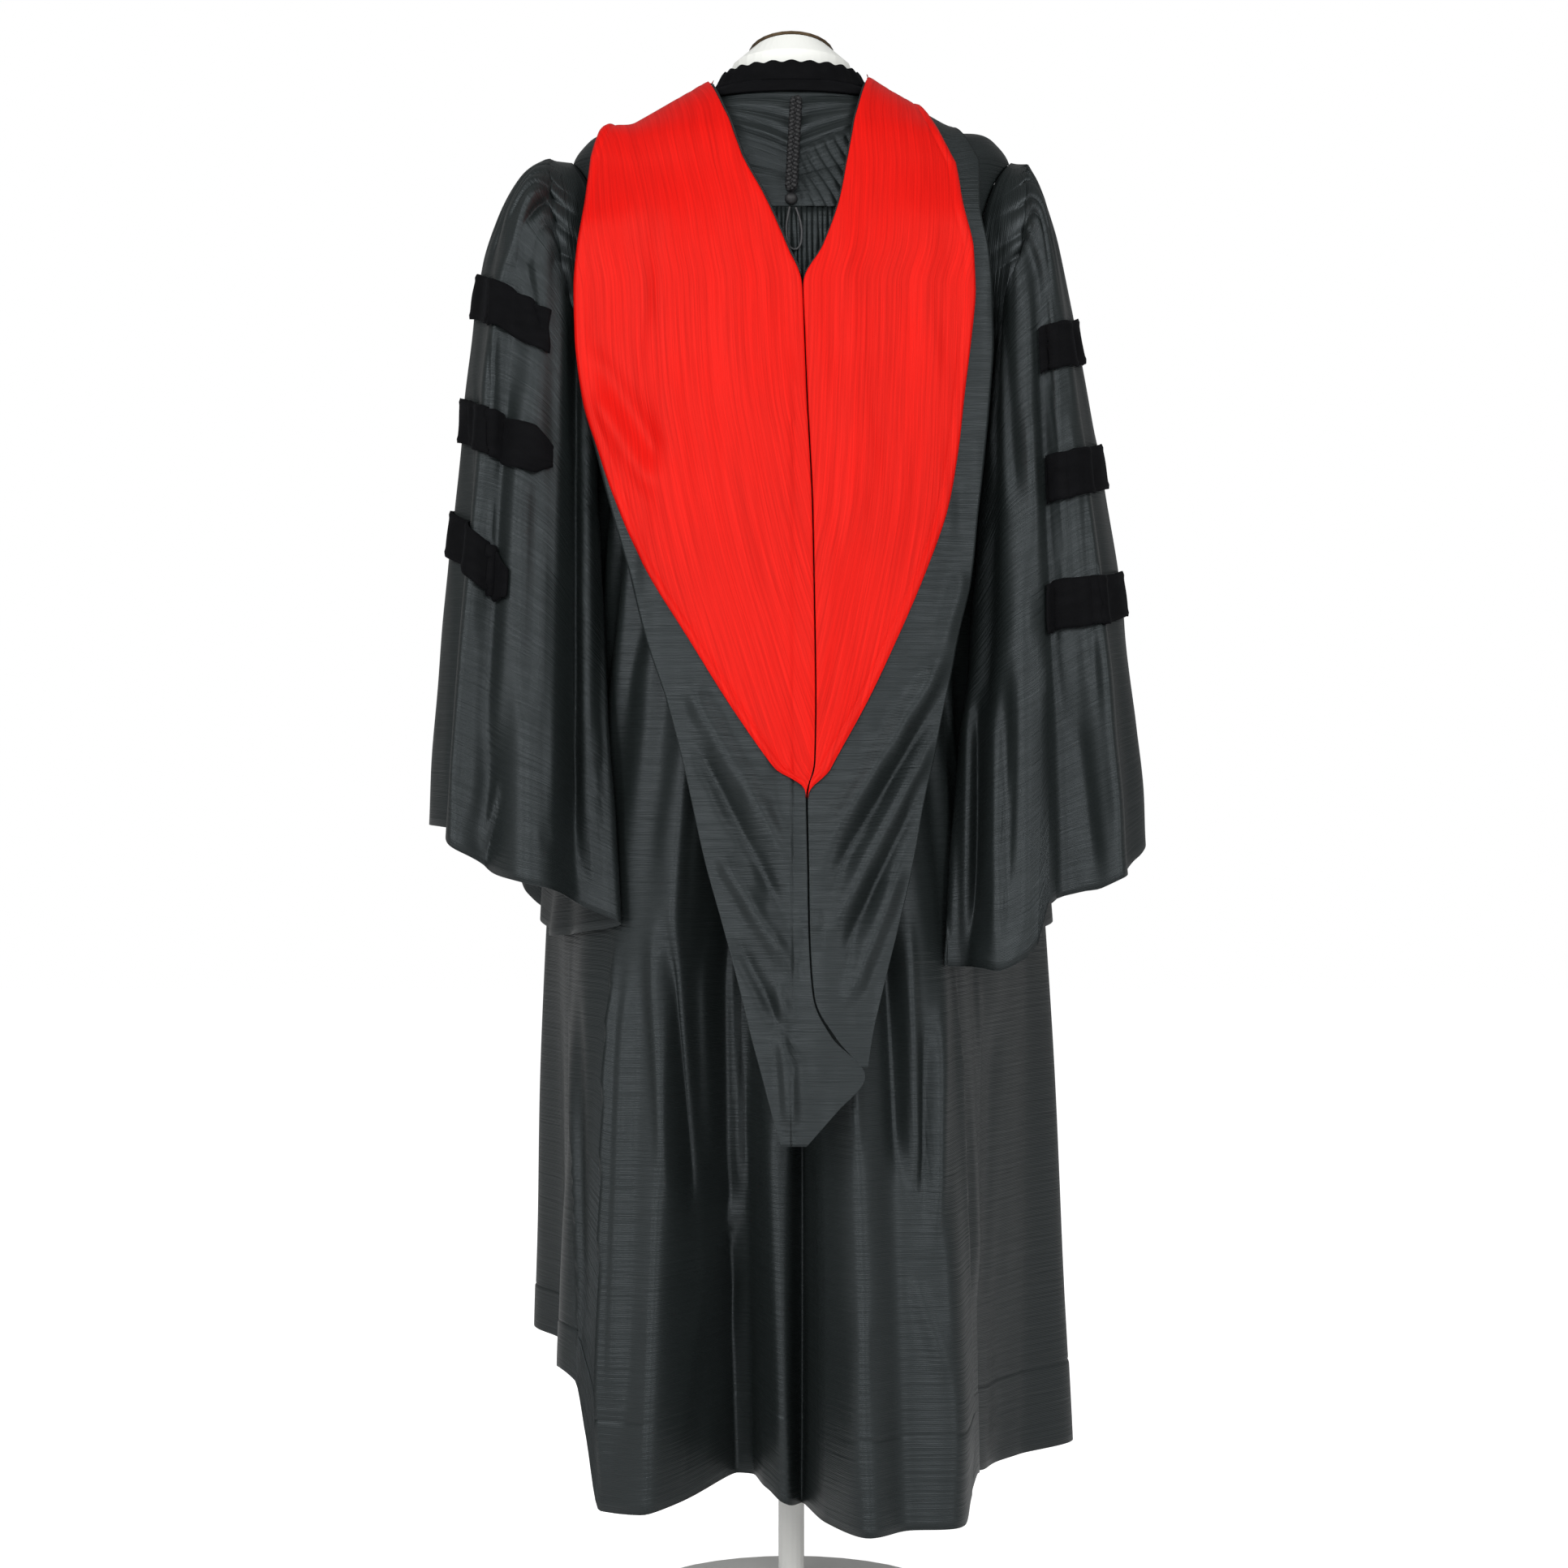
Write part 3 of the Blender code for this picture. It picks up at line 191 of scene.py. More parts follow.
def ellipse(angle, half_width, back, front):
    """Distance from the axis to a section with unlike back and front halves."""
    turn = np.radians(angle)
    depth = np.where(np.cos(turn) > 0.0, back, front)
    return 1.0 / np.sqrt((np.sin(turn) / half_width) ** 2 + (np.cos(turn) / depth) ** 2)


def plain_radius(angle, height):
    centre = BODY.at("centre", height)
    back = BODY.at("back", height) + centre
    front = BODY.at("front", height) - centre
    return ellipse(angle, BODY.at("half_width", height), back, front)


def growth(height):
    """How much of a skirt fold's full depth is there at a height."""
    return np.clip((FOLDS_START - height) / (FOLDS_START - HEM), 0.0, 1.0) ** 1.25


def body_radius(angle, height):
    return plain_radius(angle, height) + SKIRT_FOLDS.at("out", angle) * growth(height)


def shoulder_rise(x, height):
    """The gathered sleeve heads hold the shoulder's end a little higher."""
    return SHOULDER_RISE * ramp(np.abs(x), 0.145, 0.190) * ramp(height, 1.340, 1.400)


def body_point(angle, height, out=0.0):
    """A point on the gown's body, moved out from the axis."""
    place = polar(angle, body_radius(angle, height) + out, BODY.at("centre", height), height)
    place[..., 2] += shoulder_rise(place[..., 0], np.asarray(height, float))
    return place


def outward(angle, height):
    """The direction that faces away from the body there."""
    small = 0.002
    along = body_point(angle + 1.0, height) - body_point(angle - 1.0, height)
    down = body_point(angle, height - small) - body_point(angle, height + small)
    normal = np.cross(down, along)
    return normal / np.linalg.norm(normal, axis=-1, keepdims=True)


def armhole_angle(height):
    """How far the armhole's edge lies from the side, in degrees, at a height."""
    reach = np.clip((height - ARMHOLE_MIDDLE) / ARMHOLE_HALF_HEIGHT, -1.0, 1.0)
    return ARMHOLE_HALF_ANGLE * np.sqrt(1.0 - reach ** 2)


def gap_angle(height):
    """The angle that gives half a seam's gap at the side."""
    return np.degrees(0.5 * GAP / BODY.at("half_width", height))


def side_edge(height, forward):
    """Angle of a back (-1) or front (1) piece's side: shoulder, armhole, then side seam."""
    upper = 90.0 + forward * armhole_angle(height)
    lower = SIDE_SEAM - (SIDE_SEAM - 90.0) * ramp(height, SEAM_TURNS, SEAM_STRAIGHT)
    over = height > ARMHOLE_MIDDLE - ARMHOLE_HALF_HEIGHT
    return np.where(over, upper, lower) + forward * gap_angle(height)


def clear_of_body(points, margin):
    """Points moved straight out from the axis wherever they come too near the body."""
    centre = BODY.at("centre", points[..., 2])
    x = points[..., 0]
    y = points[..., 1] - centre
    angle = np.degrees(np.arctan2(x, -y))
    least = body_radius(angle, points[..., 2]) + margin
    scale = np.maximum(least / np.maximum(np.hypot(x, y), 1e-6), 1.0)
    return np.stack([x * scale, y * scale + centre, points[..., 2]], axis=-1)


hem_radius = 0.5 * float(BODY.at("half_width", HEM) + BODY.at("back", HEM))
print("round the hem, without folds, about", round(2.0 * math.pi * hem_radius, 2), "m")

# %% [markdown]
# ## Writing finishes as sums
# A finish is a small network of nodes. Joining them by hand takes many lines that hide the
# idea, so one class wraps a socket and lets plain sums add Math nodes: ribs * 0.5 + 1.
# Every other node comes from one method of the finish.

# %% Writing finishes as sums
class Wire:
    """A value on its way through a finish."""

    def __init__(self, finish, socket):
        self.finish = finish
        self.socket = socket

    def __add__(self, other):
        return self.finish.sum("ADD", self, other)

    def __sub__(self, other):
        return self.finish.sum("SUBTRACT", self, other)

    def __rsub__(self, other):
        return self.finish.sum("SUBTRACT", other, self)

    def __mul__(self, other):
        return self.finish.sum("MULTIPLY", self, other)

    def __pow__(self, other):
        return self.finish.sum("POWER", self, other)

    __radd__ = __add__
    __rmul__ = __mul__


class Finish:
    """A material that is built up from nodes."""

    def __init__(self, name, **constants):
        self.material = bpy.data.materials.new(name)
        self.material.use_nodes = True
        self.tree = self.material.node_tree
        self.shader = self.tree.nodes["Principled BSDF"]
        for key, value in constants.items():
            self.shader.inputs[key.replace("_", " ")].default_value = value

    def node(self, kind, values=None, output=0, stops=None, **settings):
        """Add one node: its settings first, then the values or links of its sockets."""
        new = self.tree.nodes.new("ShaderNode" + kind)
        for key, value in settings.items():
            setattr(new, key, value)
        if stops:
            ramp_stops = new.color_ramp.elements
            while len(ramp_stops) < len(stops):
                ramp_stops.new(0.5)
            for element, (place, colour) in zip(ramp_stops, stops):
                element.position = place
                element.color = (*colour, 1.0)
        for key, value in (values or {}).items():
            if isinstance(value, Wire):
                self.tree.links.new(value.socket, new.inputs[key])
            else:
                new.inputs[key].default_value = value
        return Wire(self, new.outputs[output])

    def sum(self, operation, first, second=0.0):
        return self.node("Math", {0: first, 1: second}, operation=operation)

    def give(self, socket, wire):
        self.tree.links.new(wire.socket, self.shader.inputs[socket])

    def flat(self, stretch):
        """The cloth's own flat pattern in metres, stretched along its width and length."""
        own = self.node("UVMap", uv_map="cut")
        return self.node("Mapping", {"Vector": own, "Scale": (*stretch, 1.0)})

    def noise(self, place, detail=2.0, roughness=0.5, scale=1.0):
        return self.node("TexNoise", {"Vector": place, "Scale": scale, "Detail": detail,
                                      "Roughness": roughness})

    def between(self, factor, low, high):
        """A colour between two, by a factor."""
        return self.node("ValToRGB", {"Fac": factor}, stops=[(0.0, low), (1.0, high)])

    def relief(self, height, distance, under=None):
        """A surface direction from a height in metres."""
        values = {"Height": height, "Distance": distance, "Strength": 1.0}
        if under:
            values["Normal"] = under
        return self.node("Bump", values)


# %% [markdown]
# ## Black silk faille
# The gown is faille, a silk with a fine rib from side to side. The ribs are too fine to see
# one by one from three metres, but they break the light into faint level streaks and give the
# folds a cool, wide gleam. Modelled threads would need millions of faces, so ribs and slubs
# are relief in the finish, laid on each piece's own flat pattern so that they follow the cut.

# %% Black silk faille
RIB = 0.0011        # spacing of the ribs


def faille_finish():
    finish = Finish("faille", Metallic=0.0, Specular_IOR_Level=0.34,
                    Specular_Tint=(0.86, 0.94, 1.0, 1.0))
    slubs = finish.noise(finish.flat((26.0, 900.0)), detail=3.0)
    streaks = finish.noise(finish.flat((9.0, 300.0)), detail=2.0)
    patches = finish.noise(finish.flat((3.0, 3.0)), detail=3.0)
    across = finish.flat((1.0, 1.0 / RIB))
    level = finish.node("SeparateXYZ", {0: across}, output=1)
    ribs = finish.sum("SINE", level * (2.0 * math.pi)) * 0.5 + 0.5
    tone = slubs * 0.45 + streaks * 0.35 + patches * 0.20
    finish.give("Base Color", finish.between(tone, (0.0044, 0.0058, 0.0057),
                                             (0.0104, 0.0134, 0.0132)))
    finish.give("Roughness", 0.53 - slubs * 0.14 - patches * 0.06)
    weave = finish.relief(ribs * (0.5 + slubs * 0.5), 0.00016)
    finish.give("Normal", finish.relief(streaks + patches * 0.5, 0.0010, weave))
    return finish.material


# %% [markdown]
# ## Velvet and cord
# Velvet's pile stands up from the cloth and drinks nearly all the light, apart from a faint
# bloom where it is seen on edge; brushing leaves soft darker and paler strokes. The cords are
# wound or plaited silk thread, so they have a slanting twist along their length.

# %% Velvet and cord
def velvet_finish():
    finish = Finish("velvet", Metallic=0.0, Specular_IOR_Level=0.04, Sheen_Weight=0.008,
                    Sheen_Roughness=0.35, Sheen_Tint=(0.8, 0.86, 1.0, 1.0))
    pile = finish.noise(finish.flat((1600.0, 1600.0)), detail=2.0)
    brushed = finish.noise(finish.flat((34.0, 90.0)), detail=3.0)
    finish.give("Base Color", finish.between(brushed * 0.7 + pile * 0.3,
                                             (0.0016, 0.0016, 0.0019),
                                             (0.0048, 0.0049, 0.0056)))
    finish.give("Roughness", 0.98 - brushed * 0.2)
    finish.give("Normal", finish.relief(pile * 0.5 + brushed, 0.0006))
    return finish.material


def cord_finish(name, turns, colour=(0.0040, 0.0040, 0.0045)):
    """Silk thread, wound at a slant: turns a metre along the cord's length."""
    finish = Finish(name, Metallic=0.0, Specular_IOR_Level=0.3)
    place = finish.flat((1.0, 1.0))
    round_it = finish.node("SeparateXYZ", {0: place}, output=0)
    along = finish.node("SeparateXYZ", {0: place}, output=1)
    wound = finish.sum("SINE", (along * turns + round_it * 2.0) * (2.0 * math.pi)) * 0.5 + 0.5
    worn = finish.noise(finish.flat((3.0, 160.0)), detail=2.0)
    # The twist's raised crests are painted paler, a painted highlight, with worn tone from noise
    # mixed in.
    crest_highlight_and_wear = tuple(2.4 * value for value in colour)
    finish.give("Base Color", finish.between(wound * 0.6 + worn * 0.4, colour, crest_highlight_and_wear))
    finish.give("Roughness", 0.62 - wound * 0.16)
    finish.give("Normal", finish.relief(wound, 0.0004))
    return finish.material


# %% [markdown]
# ## Red silk
# The hood's lining is a bright slubbed silk. Its thick and thin threads run down the back, so
# its streaks are long one way and fine the other. The colour deepens in the hollows, which the
# light does by itself, and a little in the thick threads, which the finish does.

# %% Red silk
def red_finish():
    finish = Finish("red_silk", Metallic=0.0, Specular_IOR_Level=0.20,
                    Specular_Tint=(1.0, 0.45, 0.35, 1.0))
    threads = finish.noise(finish.flat((1100.0, 14.0)), detail=3.0)
    slubs = finish.noise(finish.flat((420.0, 5.0)), detail=3.0)
    patches = finish.noise(finish.flat((7.0, 4.0)), detail=2.0)
    tone = ((threads * 0.35 + slubs * 0.5 + patches * 0.15) - 0.5) * 2.2 + 0.5
    finish.give("Base Color", finish.between(tone, (0.34, 0.0014, 0.0009),
                                             (0.66, 0.0056, 0.0032)))
    finish.give("Roughness", 0.58 - slubs * 0.16)
    finish.give("Normal", finish.relief(threads * 0.5 + slubs, 0.00035))
    return finish.material


# %% [markdown]
# ## The form's finishes
# The dress form is covered in off-white cloth, drawn tight and smooth, and its neck ends in a
# plate with a dark bronze rim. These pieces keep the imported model's meshes, which have no flat
# pattern, so their finishes read places on the object instead.

# %% The form's finishes
def covering_finish():
    finish = Finish("form_covering", Metallic=0.0, Sheen_Weight=0.08)
    place = finish.node("TexCoord", output=3)
    knit = finish.noise(place, scale=1400.0, detail=1.0)
    soft = finish.noise(place, scale=9.0, detail=3.0)
    finish.give("Base Color", finish.between(soft, (0.60, 0.605, 0.575), (0.67, 0.68, 0.65)))
    finish.give("Roughness", 0.66 + knit * 0.12)
    finish.give("Normal", finish.relief(knit, 0.0002))
    return finish.material


def painted_finish():
    finish = Finish("form_paint", Metallic=0.0, Coat_Weight=0.15, Coat_Roughness=0.3)
    place = finish.node("TexCoord", output=3)
    soft = finish.noise(place, scale=24.0, detail=4.0)
    grain = finish.noise(place, scale=900.0, detail=2.0)
    finish.give("Base Color", finish.between(soft, (0.70, 0.70, 0.675), (0.77, 0.77, 0.75)))
    finish.give("Roughness", 0.40 + soft * 0.14)
    finish.give("Normal", finish.relief(grain, 0.00008))
    return finish.material


def bronze_finish():
    finish = Finish("form_bronze", Metallic=1.0)
    place = finish.node("TexCoord", output=3)
    age = finish.noise(place, scale=70.0, detail=5.0, roughness=0.6)
    finish.give("Base Color", finish.between(age, (0.045, 0.033, 0.024), (0.20, 0.135, 0.075)))
    finish.give("Roughness", 0.30 + age * 0.30)
    finish.give("Normal", finish.relief(age, 0.0001))
    return finish.material


FAILLE = faille_finish()
VELVET_PILE = velvet_finish()
RED_SILK = red_finish()
COVERING = covering_finish()
PAINT = painted_finish()
BRONZE = bronze_finish()
print("finishes", [m.name for m in (FAILLE, VELVET_PILE, RED_SILK, COVERING, PAINT, BRONZE)])

# %% [markdown]
# ## Sheets of cloth
# Each piece of cloth is a grid of points, worked out from the sizes above, with thin walls.
# A cloth simulation was weighed up, but this gown's folds are set by its gathers and its
# heavy hood, and the photograph shows just where they fall, so they are placed one by one. The
# grid keeps its own flat pattern, in metres across and down, for the weave.

# %% Sheets of cloth
def cut_places(grid, closed):
    """Metres across and down the flat pattern for each point of a grid."""
    if closed:
        grid = np.concatenate([grid, grid[:, :1]], axis=1)
    across = run_across(grid)
    across = across - across[:, across.shape[1] // 2][:, None]
    down = np.linalg.norm(np.diff(grid, axis=0), axis=-1).mean(axis=1)
    down = np.concatenate([[0.0], np.cumsum(down)])
    return np.stack([across, np.broadcast_to(down[:, None], across.shape)], axis=-1)


def mesh_of(name, grid, closed=False):
    """A mesh through a grid's rows, top to bottom, with its flat pattern as its UV map."""
    rows, columns = grid.shape[:2]
    cut = cut_places(grid, closed)
    last = columns if closed else columns - 1
    row, column = np.meshgrid(np.arange(rows - 1), np.arange(last), indexing="ij")
    row, column = row.ravel(), column.ravel()
    beside = (column + 1) % columns
    faces = np.stack([row * columns + column, (row + 1) * columns + column,
                      (row + 1) * columns + beside, row * columns + beside], axis=1)
    mesh = bpy.data.meshes.new(name)
    mesh.from_pydata(grid.reshape(-1, 3).tolist(), [], faces.tolist())
    places = np.stack([cut[row, column], cut[row + 1, column],
                       cut[row + 1, column + 1], cut[row, column + 1]], axis=1)
    layer = mesh.uv_layers.new(name="cut")
    layer.data.foreach_set("uv", places.reshape(-1).astype(np.float32))
    mesh.shade_smooth()
    return mesh


def grid_normals(grid):
    """Outward normals of a grid whose rows run down and whose columns run round."""
    normal = np.cross(np.gradient(grid, axis=0), np.gradient(grid, axis=1))
    return normal / np.maximum(np.linalg.norm(normal, axis=-1, keepdims=True), 1e-12)


def dress(piece, finish, nodes):
    """Give a piece its finish, and let it ride on the gown's one body."""
    piece.data.materials.append(finish)
    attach(piece, "root")
    if nodes:
        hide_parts(*nodes)
    return piece


def show(name, shape, finish, nodes=()):
    """Put a finished mesh or curve in the scene."""
    piece = bpy.data.objects.new(name, shape)
    bpy.context.scene.collection.objects.link(piece)
    return dress(piece, finish, nodes)


def cloth_area(grid, closed):
    """Square metres of a grid's faces."""
    if closed:
        grid = np.concatenate([grid, grid[:, :1]], axis=1)
    first = grid[1:, 1:] - grid[:-1, :-1]
    second = grid[1:, :-1] - grid[:-1, 1:]
    return float(0.5 * np.linalg.norm(np.cross(first, second), axis=-1).sum())


CLOTHS = {              # finish and wall
    "faille": (FAILLE, 0.0011), "velvet": (VELVET_PILE, 0.0022), "red_silk": (RED_SILK, 0.0010),
}


def cloth(name, grid, slot, nodes=(), closed=False, wall=None):
    """A sheet of cloth with thin walls, whose outer side faces away from the body."""
    finish, usual = CLOTHS[slot]
    piece = show(name, mesh_of(name, grid, closed), finish, nodes)
    thicken = piece.modifiers.new("wall", "SOLIDIFY")
    thicken.thickness = wall or usual
    thicken.offset = 1.0
    places = cut_places(grid, closed)
    width = float((places[..., 0].max(axis=1) - places[..., 0].min(axis=1)).max())
    length = float(places[..., 1].max())
    print("%s: %d by %d points, %.3f m wide, %.3f m long, %.4f square metres" % (
        name, grid.shape[1], grid.shape[0], width, length, cloth_area(grid, closed)))
    return piece


# %% [markdown]
# ## Creases and soft unevenness
# A crease is a soft ridge or trough along a line: two ends, a width and a height. Real cloth
# is never quite even between its creases, so a slow, seeded unevenness goes under them. Both
# give heights, which each piece adds along its own outward direction.

# %% Creases and soft unevenness
def by_line(across, up, x1, z1, x2, z2):
    """Distance off a line, and a share that fades out towards the line's two ends."""
    run_x, run_z = x2 - x1, z2 - z1
    length = math.hypot(run_x, run_z)
    along = ((across - x1) * run_x + (up - z1) * run_z) / length ** 2
    off = ((across - x1) * run_z - (up - z1) * run_x) / length
    return off, ramp(along, -0.02, 0.22) * ramp(along, 1.02, 0.78)


def creases(across, up, lines):
    """Heights of soft ridges (+) and troughs (-); each line is two ends, width and height."""
    height = np.zeros(np.broadcast(across, up).shape)
    for *line, width, out in lines:
        off, ends = by_line(across, up, *line)
        height += out * ends * np.exp(-(off / width) ** 2)
    return height


def steps(across, up, lines):
    """Heights of folds that rise slowly and drop at the line; width's sign says on which side."""
    height = np.zeros(np.broadcast(across, up).shape)
    for *line, width, out in lines:
        off, ends = by_line(across, up, *line)
        off = off / width
        slow = np.exp(-np.clip(-off, 0.0, None) ** 1.5)
        height += out * ends * np.where(off > 0.0, ramp(off, 0.12, 0.0), slow)
    return height


def unevenness(across, up, size, seed):
    """A slow, seeded rise and fall between -1 and 1; size is (across, up) in metres."""
    dice = np.random.default_rng(seed)
    values = dice.uniform(-1.0, 1.0, (61, 61))
    x = (np.asarray(across) / size[0]) % 60.0
    z = (np.asarray(up) / size[1]) % 60.0
    column, row = np.floor(x).astype(int), np.floor(z).astype(int)
    fx, fz = x - column, z - row
    fx, fz = fx * fx * (3.0 - 2.0 * fx), fz * fz * (3.0 - 2.0 * fz)
    low = values[row, column] * (1.0 - fx) + values[row, column + 1] * fx
    high = values[row + 1, column] * (1.0 - fx) + values[row + 1, column + 1] * fx
    return low * (1.0 - fz) + high * fz


# %% [markdown]
# ## The button's loop
# A thin cord loop hangs from under the button. It is a free cord, so it comes first: its
# length and thickness are settled before its shape, and it keeps its solid's own route, with
# the points made smooth. A curve with a round section is how a cord is made by hand.

# %% The button's loop
BUTTON_RADIUS = 0.0060
BUTTON_HEIGHT = 1.3475
FLUTE = 0.0013
FAN_PLEAT = 0.0014
TUCK_DEPTH = 0.0018
LOOP_RADIUS = 0.0011
LOOP_ROUTE = (
    (-0.0018, -0.0006), (-0.0028, -0.0060), (-0.0042, -0.0130), (-0.0050, -0.0210),
    (-0.0048, -0.0290), (-0.0034, -0.0358), (-0.0006, -0.0405), (0.0032, -0.0420),
    (0.0068, -0.0396), (0.0090, -0.0335), (0.0094, -0.0250), (0.0082, -0.0150),
    (0.0058, -0.0064), (0.0040, -0.0012),
)
LOOP_POINTS = 37


def back_surface(x, z, off):
    """A point on the middle of the back, a little off its surface."""
    half = float(BODY.at("half_width", z))
    depth = float(BODY.at("back", z)) + off
    return (x, -depth * math.sqrt(max(0.0, 1.0 - (x / half) ** 2)), z)


def smooth_route(points, count):
    """A route through points, rounded and evenly spaced."""
    points = np.array(points)
    length = run_along(points)
    even = np.linspace(0.0, length[-1], count)
    return np.stack([smooth(length, points[:, k], even) for k in range(3)], axis=1)


def button_loop():
    low = BUTTON_HEIGHT - BUTTON_RADIUS - 0.0018
    off = CLOTH + FLUTE + 2.0 * GAP + LOOP_RADIUS
    route = smooth_route([back_surface(x, low + drop, off) for x, drop in LOOP_ROUTE], LOOP_POINTS)
    curve = bpy.data.curves.new("button_loop_cord", "CURVE")
    curve.dimensions = "3D"
    curve.bevel_depth = LOOP_RADIUS
    curve.bevel_resolution = 4
    curve.use_fill_caps = True
    line = curve.splines.new("POLY")
    line.points.add(len(route) - 1)
    for target, point in zip(line.points, route):
        target.co = (*point, 1.0)
    line.use_smooth = True
    finish = Finish("loop_silk", Metallic=0.0, Roughness=0.5)
    place = finish.node("TexCoord", output=3)
    thread = finish.noise(place, scale=2600.0, detail=2.0)
    finish.give("Base Color", finish.between(thread, (0.006, 0.006, 0.007), (0.03, 0.03, 0.032)))
    finish.give("Normal", finish.relief(thread, 0.0002))
    piece = show("button_loop_cord", curve, finish.material, ("button_loop",))
    length = float(np.linalg.norm(np.diff(route, axis=0), axis=1).sum())
    print("loop", round(length * 1000), "mm long")


button_loop()

# %% [markdown]
# ## The back panel
# One wide panel hangs from the yoke. Its top edge is drawn up into close, even flutes, about
# four millimetres apart at the middle, which open out below and fall into a few large folds.
# The columns of the grid are shared out like the cloth itself: crowded into the flutes at the
# top, and at equal lengths round the hem, so the flat pattern stays a true one. The hem is
# turned up deep, and its line of stitches shows as a fine groove.

# %% The back panel's grid
PANEL_COLUMNS = 360
PANEL_ROWS = 124
STITCHES = 0.214        # height of the hem's stitches
STITCH_ROWS = 11
STITCH_REACH = 0.007
TOP_SPAN = 65.5
TOP_SHARES = Table("share angle", (0.0, -TOP_SPAN), (1 / 3, -11.0), (2 / 3, 22.0),
                   (1.0, TOP_SPAN))
FLUTE_COUNT = Table("share count", (0.0, 0.0), (0.30, 13.0), (0.70, 31.0), (1.0, 44.0))
GATHER = 0.0044
GATHERS = 21


def hem_shares(first, last, columns):
    """Angles that divide the hem into equal lengths of cloth."""
    angle = np.linspace(first, last, 1441)
    curve = body_point(angle, np.full(len(angle), HEM))
    length = run_along(curve)
    return np.interp(np.linspace(0.0, length[-1], columns + 1), length, angle)


def low_share(height):
    return np.clip((FOLDS_START - height) / (FOLDS_START - HEM), 0.0, 1.0) ** 5


def hang(angles, height, out):
    """Points of a panel, with the hem's own rise added towards the bottom."""
    return body_point(angles, height + low_share(height) * HEM_RISE.at("rise", angles), out)


def panel_angles(share, height):
    top = np.interp(share, TOP_SHARES.column("share"), TOP_SHARES.column("angle")) / TOP_SPAN
    hem = hem_shares(-SIDE_SEAM, SIDE_SEAM, PANEL_COLUMNS) / SIDE_SEAM
    low = np.interp(share, np.linspace(0.0, 1.0, PANEL_COLUMNS + 1), hem)
    settled = 1.0 - ramp(height, 0.85, 1.30)
    return (top + (low - top) * settled) * side_edge(height, -1)


def flutes(share, height):
    """Rounded flutes with sharp valleys, which wander a little and open out below."""
    count = FLUTE_COUNT.at("count", share)
    wander = 0.22 * unevenness(share, height, (0.02, 0.05), 4)
    close = 2.0 * np.abs(np.cos(math.pi * (count + wander))) ** 0.75 - 1.2
    wide = np.cos(math.pi * (share * 2.0 * GATHERS + 0.6 * wander))
    inside = np.clip(40.0 * share * (1.0 - share), 0.0, 1.0)
    near_top = ramp(height, 1.13, 1.27)
    deeper = 1.0 + 0.3 * ramp(height, 1.34, 1.28)
    opened = ramp(height, 1.33, 1.20) * ramp(height, 0.55, 1.12)
    return inside * (FLUTE * close * near_top * deeper + GATHER * wide * opened)


SKIRT_CREASES = (
    (-0.1486, 0.643, -0.1633, 0.189, 0.0066, 0.0065),
    (-0.1171, 0.680, -0.0930, 0.391, 0.0066, -0.0105),
    (-0.1296, 0.665, -0.1120, 0.409, 0.0059, 0.0045),
    (-0.0783, 0.658, -0.0666, 0.424, 0.0095, 0.0065),
    (-0.0220, 0.519, -0.0066, 0.153, 0.0110, 0.0100),
    (0.0512, 0.629, 0.0564, 0.460, 0.0059, 0.0045),
    (0.1047, 0.687, 0.1120, 0.424, 0.0059, 0.0065),
    (0.0864, 0.680, 0.0974, 0.438, 0.0081, -0.0090),
    (0.1230, 0.592, 0.1193, 0.409, 0.0066, -0.0060),
    (0.1376, 0.665, 0.1281, 0.380, 0.0066, 0.0065),
    (0.1735, 0.636, 0.1706, 0.307, 0.0059, 0.0070),
    (0.1969, 0.592, 0.1911, 0.263, 0.0102, -0.0050),
    (0.2379, 0.592, 0.2423, 0.197, 0.0059, 0.0060),
    (0.2452, 0.365, 0.1852, 0.277, 0.0059, -0.0040),
    (0.2350, 0.343, 0.1940, 0.263, 0.0051, 0.0035),
    (-0.2218, 0.636, -0.2247, 0.299, 0.0051, 0.0045),
    (-0.2013, 0.629, -0.1925, 0.263, 0.0059, -0.0060),
    (-0.0512, 0.365, -0.0915, 0.167, 0.0102, -0.0060),
    (0.0622, 0.336, 0.0476, 0.146, 0.0102, 0.0040),
    (0.1061, 0.365, 0.1391, 0.263, 0.0073, 0.0040),
)
SKIRT_STEPS = (
    (-0.0534, 0.665, -0.0447, 0.413, -0.0249, 0.0085),
    (-0.0447, 0.413, -0.0783, 0.336, -0.0293, 0.0080),
    (-0.0783, 0.336, -0.1047, 0.153, -0.0322, 0.0080),
    (0.0227, 0.490, 0.0256, 0.127, 0.0161, 0.0080),
    (0.1486, 0.636, 0.1633, 0.127, -0.0220, 0.0130),
    (-0.1640, 0.658, -0.1772, 0.138, 0.0090, 0.0120),
    (-0.2116, 0.643, -0.1940, 0.230, 0.0088, 0.0050),
)


def panel_heights():
    """Heights of a panel's rows, closer together where the hem is stitched."""
    above = np.linspace(YOKE_SEAM - 0.5 * GAP, STITCHES + 0.010, PANEL_ROWS - 2 * STITCH_ROWS)
    stitched = np.linspace(STITCHES + STITCH_REACH, STITCHES - STITCH_REACH, STITCH_ROWS)
    below = np.linspace(STITCHES - 0.010, HEM, STITCH_ROWS)
    return np.concatenate([above, stitched, below])[:, None]


def hem_relief(height):
    """The turned-up hem is two cloths thick, with a line of stitches along its top."""
    line = np.exp(-((height - STITCHES) / 0.0016) ** 2)
    return 0.0007 * ramp(height, STITCHES + 0.002, STITCHES - 0.001) - 0.0011 * line


